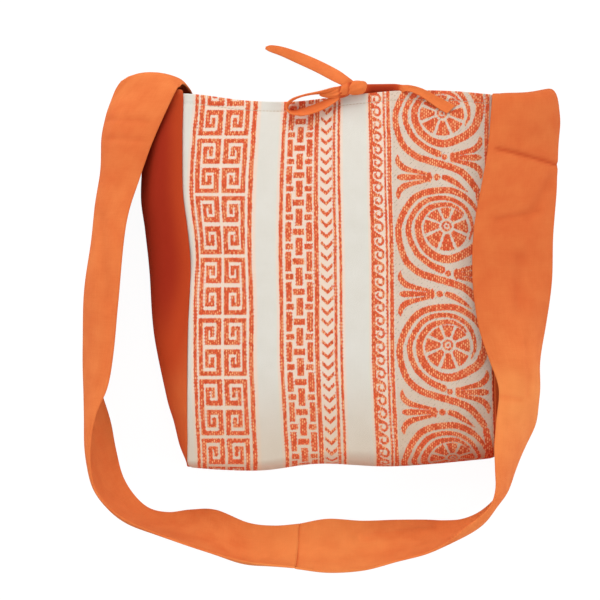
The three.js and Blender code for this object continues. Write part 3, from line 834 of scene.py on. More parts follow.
def panel(name, face, lining, rows, columns, place, woven):
    """A panel's mesh: face and lining share the cloth's map, and only the face has the woven pattern.

    woven gives the motif, the chart's column and the warmth at each point of the face.
    """
    points, quads, rims = walled(face, lining, rows, columns)
    uv = np.concatenate([place.reshape(-1, 2), place[np.ix_(rows, columns)].reshape(-1, 2)])
    motif, column, warm = woven
    tint = either(*[ease(bar(column, low, high), -TINT_SOFT, TINT_SOFT) for low, high in TINTED_GROUNDS])
    beige = ease(column, BEIGE_FROM - BEIGE_SOFT, BEIGE_FROM + BEIGE_SOFT)
    outside = {"motif": motif, "tint": tint, "warm": warm, "beige": beige}
    inside = {"motif": -MOTIF_DEPTH, "tint": 0.0, "warm": 0.0, "beige": 0.0}
    lined = len(rows) * len(columns)
    values = {
        key: np.concatenate([outside[key].ravel(), np.full(lined, inside[key])])
        for key in outside
    }
    return make_piece(name, points, quads, rims, uv, values)


def front_cloth():
    """The front: its outer face follows the middle of the cloth half a thickness out, sinks at the side seams
    and rounds over at the mouth. The chart is laid on it by the pixel that sees each point, and by length
    round the bottom, where the photograph sees the cloth from the side.
    """
    width, length = FRONT_FLAT
    across = np.linspace(0, 1, int(width / FRONT_STEP) + 1)
    up = np.linspace(0, 1, int(length / FRONT_STEP) + 1)
    middle = front_middle(across[None, :], up[:, None])
    away = normals(middle)
    along = lengths(middle)
    from_seam = np.minimum(across, 1 - across)[None, :] * width
    from_mouth = along[-1] - along
    sunk = SEAM_SINK * np.clip(1 - from_seam / SEAM_REACH, 0, 1) ** 2
    groove = HEM_GROOVE * bell(from_mouth - HEM_DEPTH + HEM_INSET, HEM_REACH)
    ripple = cloth_ripple(middle[..., 0], middle[..., 1]) * ease(from_seam, 0, SEAM_CALM)
    lift = PANEL_THICK / 2 + ripple - sunk - groove
    face = middle + away * lift[..., None]

    # the chart
    column, seen_row = seen_at(face)
    start = int(round(ROUND_SHARE * (len(up) - 1)))
    round_row = seen_row[start] + (along[start] - along) / CHART_UNIT
    row = np.where(up[:, None] < ROUND_SHARE, round_row, seen_row)
    column = chart_column(column, np.minimum(seen_row, row))
    motif = motif_height(column, chart_row(column, row))
    warm = ease(row, WARM_FROM, WARM_FULL)
    place = np.stack([np.broadcast_to(across * width, along.shape), along], axis=-1)

    # the fold at the mouth
    half = PANEL_THICK / 2 + HEM_EXTRA / 2
    out = away[-1]
    ahead = unit(middle[-1] - middle[-3])
    turn = np.radians(FOLD_TURNS)[:, None, None]
    centre = middle[-1] - out * (HEM_EXTRA / 2) + out * (lift[-1] - PANEL_THICK / 2)[:, None]
    fold = centre + half * (np.cos(turn) * out + np.sin(turn) * ahead)
    face = np.concatenate([face, fold])
    place, *woven = (
        np.concatenate([value, np.repeat(value[-1:], len(fold), axis=0)])
        for value in (place, motif, column, warm)
    )

    # the lining
    rows, columns = every(len(up), LINING_STEP), every(len(across), LINING_STEP)
    inside = PANEL_THICK / 2 + HEM_EXTRA * ease(-from_mouth, -HEM_DEPTH - HEM_STEP, -HEM_DEPTH)
    lining = (middle - away * inside[..., None])[np.ix_(rows, columns)]
    rows[-1] = len(face) - 1
    return panel("front_cloth", face, lining, rows, columns, place, woven), middle, away


def back_cloth():
    """The back: the chart carried on round the bottom, on a cloth that lies flat, its face to the floor."""
    width, length = BACK_FLAT
    across = np.linspace(0, 1, int(width / BACK_STEP) + 1)[::-1]
    up = np.linspace(0, 1, int(length / BACK_STEP) + 1)
    middle = back_middle(across[None, :], up[:, None])
    half = normals(middle) * (PANEL_THICK / 2)
    along = lengths(middle)
    left, spread, bottom = BACK_CHART
    column = np.broadcast_to(left + spread * across, along.shape)
    woven = motif_height(column, bottom + along / CHART_UNIT), column, 1 - ease(along, 0, WARM_BACK)
    place = np.stack([np.broadcast_to(across * FRONT_FLAT[0], along.shape), -along], axis=-1)
    rows, columns = every(len(up), LINING_STEP), every(len(across), LINING_STEP)
    lining = (middle - half)[np.ix_(rows, columns)]
    return panel("back_cloth", middle + half, lining, rows, columns, place, woven)


HALVINGS = 40


def bow_depth(chord, width):
    """How deep cloth bows over a chord: as deep as an arc that is as long as its width, found by halving."""
    low, high = np.zeros_like(chord), np.full_like(chord, np.pi)
    for _ in range(HALVINGS):
        half = (low + high) / 2
        flatter = np.sin(half) / half > chord / width
        low, high = np.where(flatter, half, low), np.where(flatter, high, half)
    low = np.maximum(low, 1e-6)
    return np.where(chord >= width, 0, width / (2 * low) * (1 - np.cos(low)))


def strip_stations(side, strap):
    """Back edge, front edge and bow of a strip at each station: up the bag from its point, then the strap."""
    front, back, edge = (FRONT_LEFT, BACK_LEFT, 0.0) if side < 0 else (FRONT_RIGHT, BACK_RIGHT, 1.0)
    up = SIDES[:, 0]
    seam = front_middle(np.full(len(up), edge), np.maximum(up, SEAM_FROM))
    tuck = side * SEAM_TUCK
    rest = np.full(len(up), STRIP_REST)
    back_edge = np.stack([SIDES[:, back] + tuck, seam[:, 1], rest], axis=-1)
    front_edge = np.stack([SIDES[:, front] + tuck, seam[:, 1], seam[:, 2] - SEAM_DROP], axis=-1)
    back_edge = np.concatenate([back_edge, strap[:, 0:3]])
    front_edge = np.concatenate([front_edge, strap[:, 3:6]])
    belly = np.concatenate([np.tile([side, 0.0, 0.0], (len(up), 1)), strap[:, 6:9]])
    width = np.concatenate([SIDES[:, STRIP], strap[:, 9]])
    chord = front_edge - back_edge
    long = np.linalg.norm(chord, axis=1)
    belly = unit(belly - chord * (np.sum(belly * chord, axis=1) / long**2)[:, None])
    return back_edge, front_edge, belly * bow_depth(long, width)[:, None]


def strip_middle(stations, across, along):
    """Middle of a strip: at each place along it, an arc over the bowed middle from back to front edge."""
    start, stop, bow = (rail(rows, along)[:, None, :] for rows in stations)
    half = (stop - start) / 2
    deep = np.linalg.norm(bow, axis=-1, keepdims=True)
    angle = np.maximum(2 * np.arctan2(deep, np.linalg.norm(half, axis=-1, keepdims=True)), 1e-3)
    turn = angle * (2 * across[None, :, None] - 1)
    points = start + half + half * np.sin(turn) / np.sin(angle)
    points = points + bow * (np.cos(turn) - np.cos(angle)) / (1 - np.cos(angle))
    points[..., 2] = np.maximum(points[..., 2], STRIP_REST)
    return points


def ring(points, half):
    """A flat tube round a sheet: its upper face, then its lower face back, meeting at the two edges."""
    away = normals(points) * half[..., None]
    return np.concatenate([points + away, (points - away)[:, -2:0:-1]], axis=1)


def both_faces(values):
    """Numbers of a sheet's points in the order of its flat tube: the upper face, then the lower face back."""
    return np.concatenate([values, values[:, -2:0:-1]], axis=1)


def flat_tube(name, points, half, wide, far, shade):
    """A cloth as a closed flat tube round a sheet, with end faces between its upper and lower face, its
    places across and along the flat cloth, and its shade.
    """
    rows, columns = points.shape[:2]
    skin = ring(points, half)
    count = skin.shape[1]
    upper = np.arange(columns)
    lower = np.where((upper == 0) | (upper == columns - 1), upper, count - upper)
    rims = []
    for i in range(columns - 1):
        near = list(dict.fromkeys([upper[i + 1], upper[i], lower[i], lower[i + 1]]))
        rims += [near, [(rows - 1) * count + k for k in near[::-1]]]
    quads = grid_faces(rows, count, closed=True)
    uv = both_faces(np.stack(np.broadcast_arrays(wide, far), axis=-1)).reshape(-1, 2)
    return make_piece(name, skin.reshape(-1, 3), quads, rims, uv, {"shade": both_faces(shade)})


def edge_columns(width, count, round_over):
    """Places across a cloth, evenly spaced but closer where its edges round over."""
    near = EDGE_COLUMNS * round_over / width
    start = EVEN_FROM * round_over / width
    even = np.linspace(start, 1 - start, count)
    return np.concatenate([near, even, 1 - near[::-1]])


def edge_half(across, width, thick, round_over):
    """Half the thickness of a cloth across its width: full, and rounded to nothing at the edges."""
    inward = np.minimum(across, 1 - across) * width
    return thick / 2 * np.sqrt(np.clip(1 - (1 - np.clip(inward / round_over, 0, 1)) ** 2, 0, 1))


# The strap's upper edge rolls outward where it stands: distance past the mouth from which it does, edge
# heights at which that starts and is full, drop, width
LIP_PAST, LIP_FROM, LIP_FULL, LIP_DROP, LIP_WIDTH = 100.0, 50.0, 66.0, 5.0, 13.0
# Creases pressed into the strap's left (-1) and right (1) half, from this far past the mouth: from x y, to x y, reach,
# depth, and how much painted shade darkens the colour along the crease
CREASE_PAST = 10.0
CREASES = {
    -1: (
        (-228, 157, -186, 152, 3.0, 1.2, 0.04),
        (-226, 138, -190, 133, 3.0, 1.0, 0.04),
        (-216, 156, -224, 139, 2.6, -0.7, 0.0),
        (-232, 60, -222, -20, 6.0, 1.2, 0.05),
    ),
    1: (
        (150, 126, 212, 113, 2.2, 1.8, 0.16),
        (205, 100, 180, 60, 6.0, 1.4, 0.05),
        (150, 58, 190, 66, 3.5, 1.0, 0.06),
        (172, 20, 168, -30, 7.0, 1.4, 0.05),
        (176, -60, 180, -112, 3.0, 1.2, 0.06),
        (152, -112, 172, -116, 2.6, 1.0, 0.1),
        (24, -255, 90, -246, 3.2, 1.8, 0.14),
    ),
}
# Values of the shade attribute at which the cotton is painted pale (painted light) or rust and deep rust (painted
# shade), and the painted shade of the bag's side at its bottom
PALE_SHADE, RUST_SHADE, DEEP_SHADE, BOTTOM_SHADE = -0.5, 0.5, 1.0, 0.3
# Painted shade on the bag's side: deeper further up from its point and away from the front seam, where the strap
# shades it
SHADE_UP, SHADE_ACROSS = (70, 215), (57, 86)
# Painted light and shade along the strap past the mouth, paler below 0 and deeper above it: distance, shade of the
# left half, shade of the right half
STRAP_PAINTED_LIGHT_SHADE = np.array([
    (-80, 0.08, 0.2), (60, 0.08, 0.2), (120, 0.18, 0.2), (220, 0.1, 0.2), (280, 0.12, 0.14),
    (340, 0.12, -0.18), (410, 0.1, -0.1), (460, 0.1, 0.02), (550, 0.1, 0.0), (600, 0.02, -0.14),
    (640, -0.15, -0.14), (720, -0.15, -0.14),
])
# Distances past the mouth between which the strap's painted light and shade takes over from the side's painted shade
TONE_IN = {-1: (-15, 30), 1: (-50, -5)}
# Distances past the mouth between which the cloth lies looser, and the calm stretch along its edges
LOOSE_IN, CALM_EDGE = (-60, 40), 14.0


def strip_ripple(side, wide, far, past):
    """Ripples of handled cloth: three crossing waves, stronger past the mouth and weaker at the edges."""
    waves = (
        0.55 * np.sin(far / 26 + 0.9 * np.sin(wide / 27)) * np.sin(wide / 29 + 0.6)
        + 0.4 * np.sin(far / 15 - wide / 21 + 1.7 * side)
        + 0.3 * np.sin(far / 61 + wide / 12)
    )
    calm = ease(np.minimum(wide, STRIP_WIDTH - wide), 0, CALM_EDGE)
    return waves * (0.4 + 1.2 * ease(past, *LOOSE_IN)) * (0.3 + 0.7 * calm)


def strip_creases(side, points, past):
    """Depth of the creases, a bell across each crease's line, and the painted shade that darkens the colour there."""
    depth, deeper = np.zeros(points.shape[:2]), np.zeros(points.shape[:2])
    for x0, y0, x1, y1, reach, deep, tone in CREASES[side]:
        run = np.array([x1 - x0, y1 - y0], float)
        offset = points[..., :2] - (x0, y0)
        share = np.clip(offset @ run / (run @ run), 0, 1)
        mark = bell(np.linalg.norm(offset - share[..., None] * run, axis=-1), reach) * (past > CREASE_PAST)
        depth = depth + deep * mark
        deeper = np.maximum(deeper, tone * mark)
    return depth, deeper


def strip_shade(side, wide, far, past, deeper):
    """Painted shade and light in the colour: on the bag's side, painted shade in rust that deepens upward and away
    from the front seam; past the mouth, the strap's painted light and shade and the painted shade of its creases.
    """
    up = ease(far, *SHADE_UP)
    away = 1 - ease(wide, *SHADE_ACROSS)
    on_bag = BOTTOM_SHADE + (RUST_SHADE - BOTTOM_SHADE) * up + (DEEP_SHADE - RUST_SHADE) * away * up
    left, right = columns_at(STRAP_PAINTED_LIGHT_SHADE, past)
    on_strap = deeper + (left if side < 0 else right)
    cover = ease(past, *TONE_IN[side])
    return on_bag * (1 - cover) + on_strap * cover


def strip(name, side, strap):
    """A side strip and its half of the strap, sampled evenly along its length, rippled, creased, with its
    upper edge rolled where it stands, and never below the floor.
    """
    stations = strip_stations(side, strap)
    coarse = np.linspace(0, len(stations[0]) - 1, SPINE_STEPS)
    spine = lengths(strip_middle(stations, SPINE_LINES, coarse)).mean(axis=1)
    long = spine[-1]
    far = np.linspace(0, long, int(long / STRIP_STEP))[:, None]
    past = far - spine[np.searchsorted(coarse, len(SIDES) - 1)]
    across = edge_columns(STRIP_WIDTH, STRIP_COLUMNS, STRIP_ROUND)
    wide = across[None, :] * STRIP_WIDTH
    points = strip_middle(stations, across, np.interp(far[:, 0], spine, coarse))
    depth, deeper = strip_creases(side, points, past)
    outward = -side * (strip_ripple(side, wide, far, past) - depth)
    points = points + normals(points) * outward[..., None]
    stands = ease(points[:, :1, 2], LIP_FROM, LIP_FULL) * (past > LIP_PAST)
    points[..., 2] -= LIP_DROP * stands * np.clip(1 - wide / LIP_WIDTH, 0, 1) ** 2
    points[..., 2] = np.maximum(points[..., 2], STRIP_REST)
    half = edge_half(across, STRIP_WIDTH, STRIP_THICK, STRIP_ROUND)[None, :]
    half = half * (1 - JOIN_PINCH * bell(long - far, JOIN_REACH))
    shade = strip_shade(side, wide, far, past, deeper)
    return flat_tube(name, points, half, wide, far, shade), long


# A ribbon inside the mouth gets painted shade, where the mouth shades it: heights and places y between which that
# ends, shade, and how much of it the ribbon's edges lose
INSIDE_UNDER, INSIDE_BELOW = (22, 32), (192, 198)
INSIDE_SHADE, INSIDE_EDGES = 0.85, 0.8


def ribbon(name, table):
    """A tie ribbon along its table: straight across the way its width lies, and cupped by a parabola."""
    rows = rail(table, np.linspace(0, len(table) - 1, RIBBON_STEPS * (len(table) - 1) + 1))
    middle, lies = rows[:, None, 0:3], unit(rows[:, 3:6])[:, None, :]
    width, cup = rows[:, 6, None, None], rows[:, 7, None]
    across = edge_columns(RIBBON_WIDTH, RIBBON_COLUMNS, RIBBON_ROUND)
    flat = middle + lies * width * (across - 0.5)[None, :, None]
    points = flat + normals(flat) * (cup * (1 - (2 * across - 1) ** 2))[..., None]
    points[..., 2] = np.maximum(points[..., 2], RIBBON_THICK / 2 + FLOOR_GAP)
    half = edge_half(across, RIBBON_WIDTH, RIBBON_THICK, RIBBON_ROUND)[None, :]
    far = lengths(middle[:, 0])[:, None]
    wide = across[None, :] * RIBBON_WIDTH
    # painted shade on the stretch inside the mouth, lighter at the ribbon's edges
    inside = (1 - ease(points[..., 2], *INSIDE_UNDER)) * (1 - ease(points[..., 1], *INSIDE_BELOW))
    shade = INSIDE_SHADE * inside * (1 - INSIDE_EDGES * np.abs(2 * across - 1) ** 3)
    return flat_tube(name, points, half, wide, far, shade), table[:, 6].max(), far[-1, 0]


# The knot: along x, middle y z, half height, half depth, depth of the pleats
KNOT_PLEATS = np.array([
    (-21, 180.2, 36.0, 1.6, 1.2, 0.05),
    (-18, 180.4, 36.0, 3.0, 2.2, 0.12),
    (-10, 180.8, 35.6, 4.3, 3.4, 0.16),
    (-2, 181.8, 35.2, 5.4, 4.6, 0.16),
    (4, 183.4, 35.0, 5.8, 5.2, 0.10),
    (10, 185.5, 35.2, 5.2, 5.2, 0.04),
])
KNOT_FOLD = np.array([
    (-1.5, 183.2, 35.3, 3.6, 3.4, 0.0),
    (-0.6, 183.4, 35.3, 5.4, 5.0, 0.02),
    (2, 184.0, 35.4, 6.4, 6.0, 0.03),
    (6, 185.0, 35.5, 6.8, 6.3, 0.03),
    (10, 185.8, 35.5, 6.2, 6.0, 0.0),
])
KNOT_WRAP = np.array([
    (6.0, 185.4, 35.4, 3.6, 3.8, 0.0),
    (7.0, 185.6, 35.5, 5.4, 5.6, 0.04),
    (10, 186.0, 35.7, 6.5, 6.9, 0.06),
    (15, 186.4, 35.8, 6.8, 7.3, 0.05),
    (20, 186.2, 35.6, 6.3, 6.8, 0.06),
    (23.2, 185.6, 35.2, 4.8, 5.2, 0.04),
    (24.4, 185.2, 35, 2.4, 2.8, 0.0),
])
# The knot's turns, each under the next: table, pleats round it, lean, and the x at which the next one begins
KNOT_TURNS = ((KNOT_PLEATS, 7, 0.1, 0.0), (KNOT_FOLD, 4, 0.3, 8.5), (KNOT_WRAP, 5, 0.35, 40.0))
# How the pleats twist along the knot, the radius by which its cloth is mapped, and the painted shade on it where the
# next turn covers it
KNOT_TWIST, KNOT_RADIUS = 0.35, 8.0
COVERED_SHADE, COVERED_REACH = 0.4, 5.0


def knot_body(table, pleats, lean):
    """Oval sections along x, pleated by a wave round the section and leaning with height."""
    at = np.linspace(0, len(table) - 1, KNOT_ROWS)
    x, y, z, high, deep, pleat = rail(table, at).T[..., None]
    turn = np.linspace(0, 2 * np.pi, KNOT_COLUMNS, endpoint=False)[None, :]
    swell = 1 + pleat * np.sin(pleats * turn + KNOT_TWIST * (x - table[0, 0]))
    rise = high * np.cos(turn) * swell
    points = np.stack([x + lean * rise, y + rise, z + deep * np.sin(turn) * swell], axis=-1)
    place = np.stack(np.broadcast_arrays(turn * KNOT_RADIUS, x), axis=-1)
    return points, place


def tie_knot():
    """The knot: pleats running out of a wrapped turn of ribbon, each turn closed at both ends, with painted shade
    where the next covers it.
    """
    points, quads, rims, uv, shade = [], [], [], [], []
    section = np.arange(KNOT_COLUMNS)
    for k, (table, pleats, lean, cover) in enumerate(KNOT_TURNS):
        body, place = knot_body(table, pleats, lean)
        start = k * KNOT_ROWS * KNOT_COLUMNS
        quads.append(grid_faces(KNOT_ROWS, KNOT_COLUMNS, closed=True, start=start))
        rims += [start + section[::-1], start + (KNOT_ROWS - 1) * KNOT_COLUMNS + section]
        points.append(body.reshape(-1, 3))
        uv.append(place.reshape(-1, 2))
        shade.append(COVERED_SHADE * ease(body[..., 0], cover - COVERED_REACH, cover).ravel())
    points, quads, uv, shade = (np.concatenate(lists) for lists in (points, quads, uv, shade))
    return make_piece("knot", points, quads, rims, uv, {"shade": shade})


# Hem stitches: pitch, length, thickness, how far they sink in, and the bare stretch at each end of the row
STITCH_PITCH, STITCH_LONG, STITCH_THICK, STITCH_SINK, STITCH_END = 3.4, 3.1, 0.6, 0.43, 4.0
# One stitch: places along its half length, fatness there, how far its tips bend in, and sides round it
STITCH_PLACES, STITCH_FAT = np.array([-1, -0.75, 0, 0.75, 1]), np.array([0.15, 0.8, 1, 0.8, 0.15])
STITCH_BEND, STITCH_SIDES = 0.35, 6


def stitches(name, centres, ahead, out):
    """Short stitches: small capsules, each a few rings along its length, its tips bent into the cloth."""
    ahead, out = unit(ahead), unit(out)
    beside = np.cross(ahead, out)[:, None, None, :]
    ahead, out = ahead[:, None, None, :], out[:, None, None, :]
    turn = np.linspace(0, 2 * np.pi, STITCH_SIDES, endpoint=False)
    places, fat = STITCH_PLACES[None, :, None, None], STITCH_FAT[None, :, None, None]
    spread = np.cos(turn)[:, None] * out + np.sin(turn)[:, None] * beside
    body = centres[:, None, None, :] + ahead * (STITCH_LONG / 2 * places) + spread * (STITCH_THICK / 2 * fat)
    points = (body - out * (STITCH_THICK * STITCH_BEND * places**2)).reshape(-1, 3)
    rings = len(STITCH_PLACES)
    starts = rings * STITCH_SIDES * np.arange(len(centres))[:, None]
    quads = (grid_faces(rings, STITCH_SIDES, closed=True)[None] + starts[:, None]).reshape(-1, 4)
    tips = np.arange(STITCH_SIDES)
    rims = [*(starts + tips[::-1]), *(starts + (rings - 1) * STITCH_SIDES + tips)]
    return make_piece(name, points, quads, rims, points[:, :2])


def hem_line(grid, away):
    """Stitches along the mouth's hem: evenly spaced points of the front face, in the groove of the hem."""
    row = len(grid) - 1 - int(round((HEM_DEPTH - HEM_INSET) / FRONT_STEP))
    line = grid[row] + away[row] * (PANEL_THICK / 2)
    far = lengths(line)
    at = np.arange(STITCH_END, far[-1] - STITCH_END, STITCH_PITCH)
    centres, out = (
        np.stack([np.interp(at, far, values[:, k]) for k in range(3)], axis=-1)
        for values in (line, away[row])
    )
    rise = cloth_ripple(centres[:, 0], centres[:, 1]) - STITCH_SINK
    return stitches("hem_stitches", centres + out * rise[:, None], np.gradient(centres, axis=0), out)


def srgb(red, green, blue):
    """A colour given as the eye sees it, 0 to 255, as the amounts of light that a shader takes."""
    share = np.array([red, green, blue]) / 255
    light = np.where(share <= 0.04045, share / 12.92, ((share + 0.055) / 1.055) ** 2.4)
    return (*light.tolist(), 1.0)


def add(tree, kind, inputs=None, **settings):
    """A shader node with its settings, and each input given a value or joined to another node's output."""
    node = tree.nodes.new(kind)
    for name, value in settings.items():
        setattr(node, name, value)
    for key, value in (inputs or {}).items():
        if isinstance(value, bpy.types.NodeSocket):
            tree.links.new(value, node.inputs[key])
        else:
            node.inputs[key].default_value = value
    return node


def maths(tree, operation, first, second=0.0, third=0.0):
    """One sum, worked out at each point of the surface."""
    return add(tree, "ShaderNodeMath", {0: first, 1: second, 2: third}, operation=operation).outputs[0]


def mix(tree, share, first, second, most=1.0):
    """The first colour where share is 0, and the second, or most of it, where share is 1."""
    if most < 1:
        share = maths(tree, "MULTIPLY", share, most)
    return add(tree, "ShaderNodeMix", {0: share, 6: first, 7: second}, data_type="RGBA").outputs[2]


def between(tree, value, low, high):
    """0 at low, 1 at high, and smooth between."""
    ends = {0: value, 1: low, 2: high, 3: 0.0, 4: 1.0}
    return add(tree, "ShaderNodeMapRange", ends, interpolation_type="SMOOTHSTEP").outputs[0]


def noise(tree, place, scale, detail=2.0):
    """Smooth random values from 0 to 1, scale of them to a unit."""
    return add(tree, "ShaderNodeTexNoise", {"Vector": place, "Scale": scale, "Detail": detail}).outputs[0]


def stretched(tree, place, x, y):
    """A place made x times as far across and y times as far up."""
    return add(tree, "ShaderNodeVectorMath", {0: place, 1: (x, y, 1.0)}, operation="MULTIPLY").outputs[0]


def scaled(tree, vector, amount):
    """A place or a colour times an amount."""
    return add(tree, "ShaderNodeVectorMath", {0: vector, "Scale": amount}, operation="SCALE").outputs[0]


def cloth_map(tree):
    """Where a point lies on the flat cloth."""
    return add(tree, "ShaderNodeUVMap", uv_map="cloth").outputs[0]


def own_value(tree, name):
    """A named number that the piece has at each point."""
    return add(tree, "ShaderNodeAttribute", attribute_name=name).outputs["Fac"]


def placed_group(tree, group, **inputs):
    """A shared effect with its own values: what it puts out."""
    return add(tree, "ShaderNodeGroup", inputs, node_tree=group).outputs


def add_bump(tree, shader, height, strength, distance):
    """Relief by a height, at full height as many metres deep as the distance says."""
    bump = add(tree, "ShaderNodeBump", {"Strength": strength, "Distance": distance, "Height": height})
    tree.links.new(bump.outputs[0], shader.inputs["Normal"])


FLOAT, VECTOR = "NodeSocketFloat", "NodeSocketVector"


def new_group(name, inputs, outputs):
    """An empty node group with named inputs (name, kind, value) and outputs, which are all numbers."""
    tree = bpy.data.node_groups.new(name, "ShaderNodeTree")
    for key, kind, value in inputs:
        socket = tree.interface.new_socket(key, in_out="INPUT", socket_type=kind)
        if value is not None:
            socket.default_value = value
    for key in outputs:
        tree.interface.new_socket(key, in_out="OUTPUT", socket_type=FLOAT)
    return tree, tree.nodes.new("NodeGroupInput").outputs, tree.nodes.new("NodeGroupOutput").inputs


# Slubs are threads of uneven thickness: how fine they are across and along the thread, to a unit of the map
SLUB_ACROSS, SLUB_ALONG = 90, 6
# Slow changes of tone, to a unit of the map
CLOUDS = 4.5


def plain_weave():
    """Plain weave: threads that pass over and under, as the product of two sines, and a mottle of slubs."""
    inputs = [("Place", VECTOR, None), ("Threads", FLOAT, 120.0)]
    tree, given, out = new_group("plain_weave", inputs, ["Height", "Mottle"])
    place = given["Place"]
    turns = add(tree, "ShaderNodeSeparateXYZ", {0: scaled(tree, place, given["Threads"])}).outputs
    over = maths(tree, "MULTIPLY", maths(tree, "SINE", turns[0]), maths(tree, "SINE", turns[1]))
    slub_up = noise(tree, stretched(tree, place, SLUB_ACROSS, SLUB_ALONG), 1.0)
    slub_across = noise(tree, stretched(tree, place, SLUB_ALONG, SLUB_ACROSS), 1.0)
    cloud = noise(tree, place, CLOUDS, 4.0)
    mottle = maths(tree, "MULTIPLY_ADD", maths(tree, "ADD", slub_up, slub_across), 0.25, cloud)
    tree.links.new(maths(tree, "MULTIPLY_ADD", over, 0.5, 0.5), out["Height"])
    tree.links.new(maths(tree, "SUBTRACT", mottle, 0.25), out["Mottle"])
    return tree


def woven_dashes():
    """Short upright stitches of thread in a brick layout: each cell has an oval swell, a slim core and a
    number of its own.
    """
    inputs = [("Place", VECTOR, None), ("Across", FLOAT, 40.0), ("Up", FLOAT, 30.0)]
    tree, given, out = new_group("woven_dashes", inputs, ["Swell", "Core", "Own"])
    parts = add(tree, "ShaderNodeSeparateXYZ", {0: given["Place"]}).outputs
    wander = maths(tree, "MULTIPLY", noise(tree, given["Place"], 14.0), 0.6)
    u = maths(tree, "MULTIPLY_ADD", parts[0], given["Across"], wander)
    column = maths(tree, "FLOOR", u)
    brick = maths(tree, "MULTIPLY", maths(tree, "FLOORED_MODULO", column, 2.0), 0.5)
    v = maths(tree, "MULTIPLY_ADD", parts[1], given["Up"], maths(tree, "ADD", brick, wander))
    row = maths(tree, "FLOOR", v)
    off_u, off_v = (
        maths(tree, "ABSOLUTE", maths(tree, "SUBTRACT", maths(tree, "SUBTRACT", at, cell), 0.5))
        for at, cell in ((u, column), (v, row))
    )
    far = maths(tree, "ADD", maths(tree, "POWER", off_u, 2.0), maths(tree, "POWER", off_v, 2.0))
    swell = maths(tree, "SUBTRACT", 1.0, maths(tree, "MULTIPLY", maths(tree, "SQRT", far), 1.5))
    core = maths(tree, "MULTIPLY", between(tree, off_u, 0.36, 0.08), between(tree, off_v, 0.46, 0.2))
    cell = add(tree, "ShaderNodeCombineXYZ", {0: column, 1: row}).outputs[0]
    own = add(tree, "ShaderNodeTexWhiteNoise", {"Vector": cell}, noise_dimensions="2D").outputs["Value"]
    for key, value in (("Swell", swell), ("Core", core), ("Own", own)):
        tree.links.new(value, out[key])
    return tree


def new_material(name):
    """A material, its nodes and its shader."""
    material = bpy.data.materials.new(name)
    material.use_nodes = True
    tree = material.node_tree
    return material, tree, tree.nodes["Principled BSDF"]


# Dyed cotton
STRAP_LIGHT, STRAP_DARK = srgb(243, 139, 74), srgb(228, 112, 55)
TIE_LIGHT, TIE_DARK = srgb(239, 132, 69), srgb(224, 108, 53)
# Painted light (pale) and painted shade (rust, deep rust), mixed in by the piece's shade attribute
LIT_PALE, SHADED_RUST, DEEP_SHADED_RUST = srgb(250, 165, 90), srgb(188, 65, 24), srgb(156, 37, 10)
# The ground of the patterned cotton
CREAM_LIGHT, CREAM_DARK = srgb(232, 228, 219), srgb(222, 217, 205)
SAND_LIGHT, SAND_DARK = srgb(229, 210, 193), srgb(214, 191, 172)
TINT, HATCH, WARMED = srgb(246, 217, 196), srgb(160, 136, 112), srgb(206, 178, 146)
# Its thread: a painted lit and a painted shaded tone across each stitch's swell, the palest stitches, painted
# highlights (glints) and dull cores
TERRACOTTA_LIT, TERRACOTTA_SHADED = srgb(236, 100, 58), srgb(203, 68, 36)
APRICOT, GLINT, BROWN = srgb(243, 136, 92), srgb(252, 212, 150), srgb(160, 84, 40)
# The hem's thread, how dark its specks are, and how many there are to a metre
SEWING_THREAD, SPECK_DARK, SPECKS = srgb(200, 180, 154), 0.985, 40.0
# Fineness of the weave of strap, tie and panels, in radians of its waves to a unit of the cloth's map
STRAP_WEAVE, TIE_WEAVE, PANEL_WEAVE = 900.0, 1000.0, 700.0
# The panels' stitches of thread to a unit of the map, across and up
DASHES_ACROSS, DASHES_UP = 50.0, 31.0
# Hatching of the beige ground, to a unit of the map: radians of its slanted lines, and patches
HATCH_LINES, HATCH_PATCHES = 150.0, 45.0


def cotton(name, weave, light, dark, threads):
    """Plain dyed cotton: two tones by the mottle, then painted light (pale) or painted shade (rust, deep rust) by the
    piece's shade attribute, painted shade in the weave's hollows, the weave as bump, and a faint sheen of its own
    colour.
    """
    material, tree, shader = new_material(name)
    cloth = placed_group(tree, weave, Place=cloth_map(tree), Threads=threads)
    depth = own_value(tree, "shade")
    dyed = mix(tree, between(tree, cloth["Mottle"], 0.0, 1.0), dark, light)
    # painted light (pale) and painted shade (rust, deep rust) by the shade attribute
    dyed = mix(tree, between(tree, depth, 0.0, PALE_SHADE), dyed, LIT_PALE)
    dyed = mix(tree, between(tree, depth, 0.0, RUST_SHADE), dyed, SHADED_RUST)
    dyed = mix(tree, between(tree, depth, RUST_SHADE, DEEP_SHADE), dyed, DEEP_SHADED_RUST)
    # painted shade in the weave: the colour is darker where the threads dip and lighter where they rise
    weave_shade = maths(tree, "MULTIPLY_ADD", cloth["Height"], 0.12, 0.94)
    tree.links.new(scaled(tree, dyed, weave_shade), shader.inputs["Base Color"])
    add_bump(tree, shader, cloth["Height"], 0.35, 0.0003)
    shader.inputs["Roughness"].default_value = 0.88
    shader.inputs["Sheen Weight"].default_value = 0.12
    shader.inputs["Sheen Tint"].default_value = light
    shader.inputs["Specular IOR Level"].default_value = 0.2
    return material


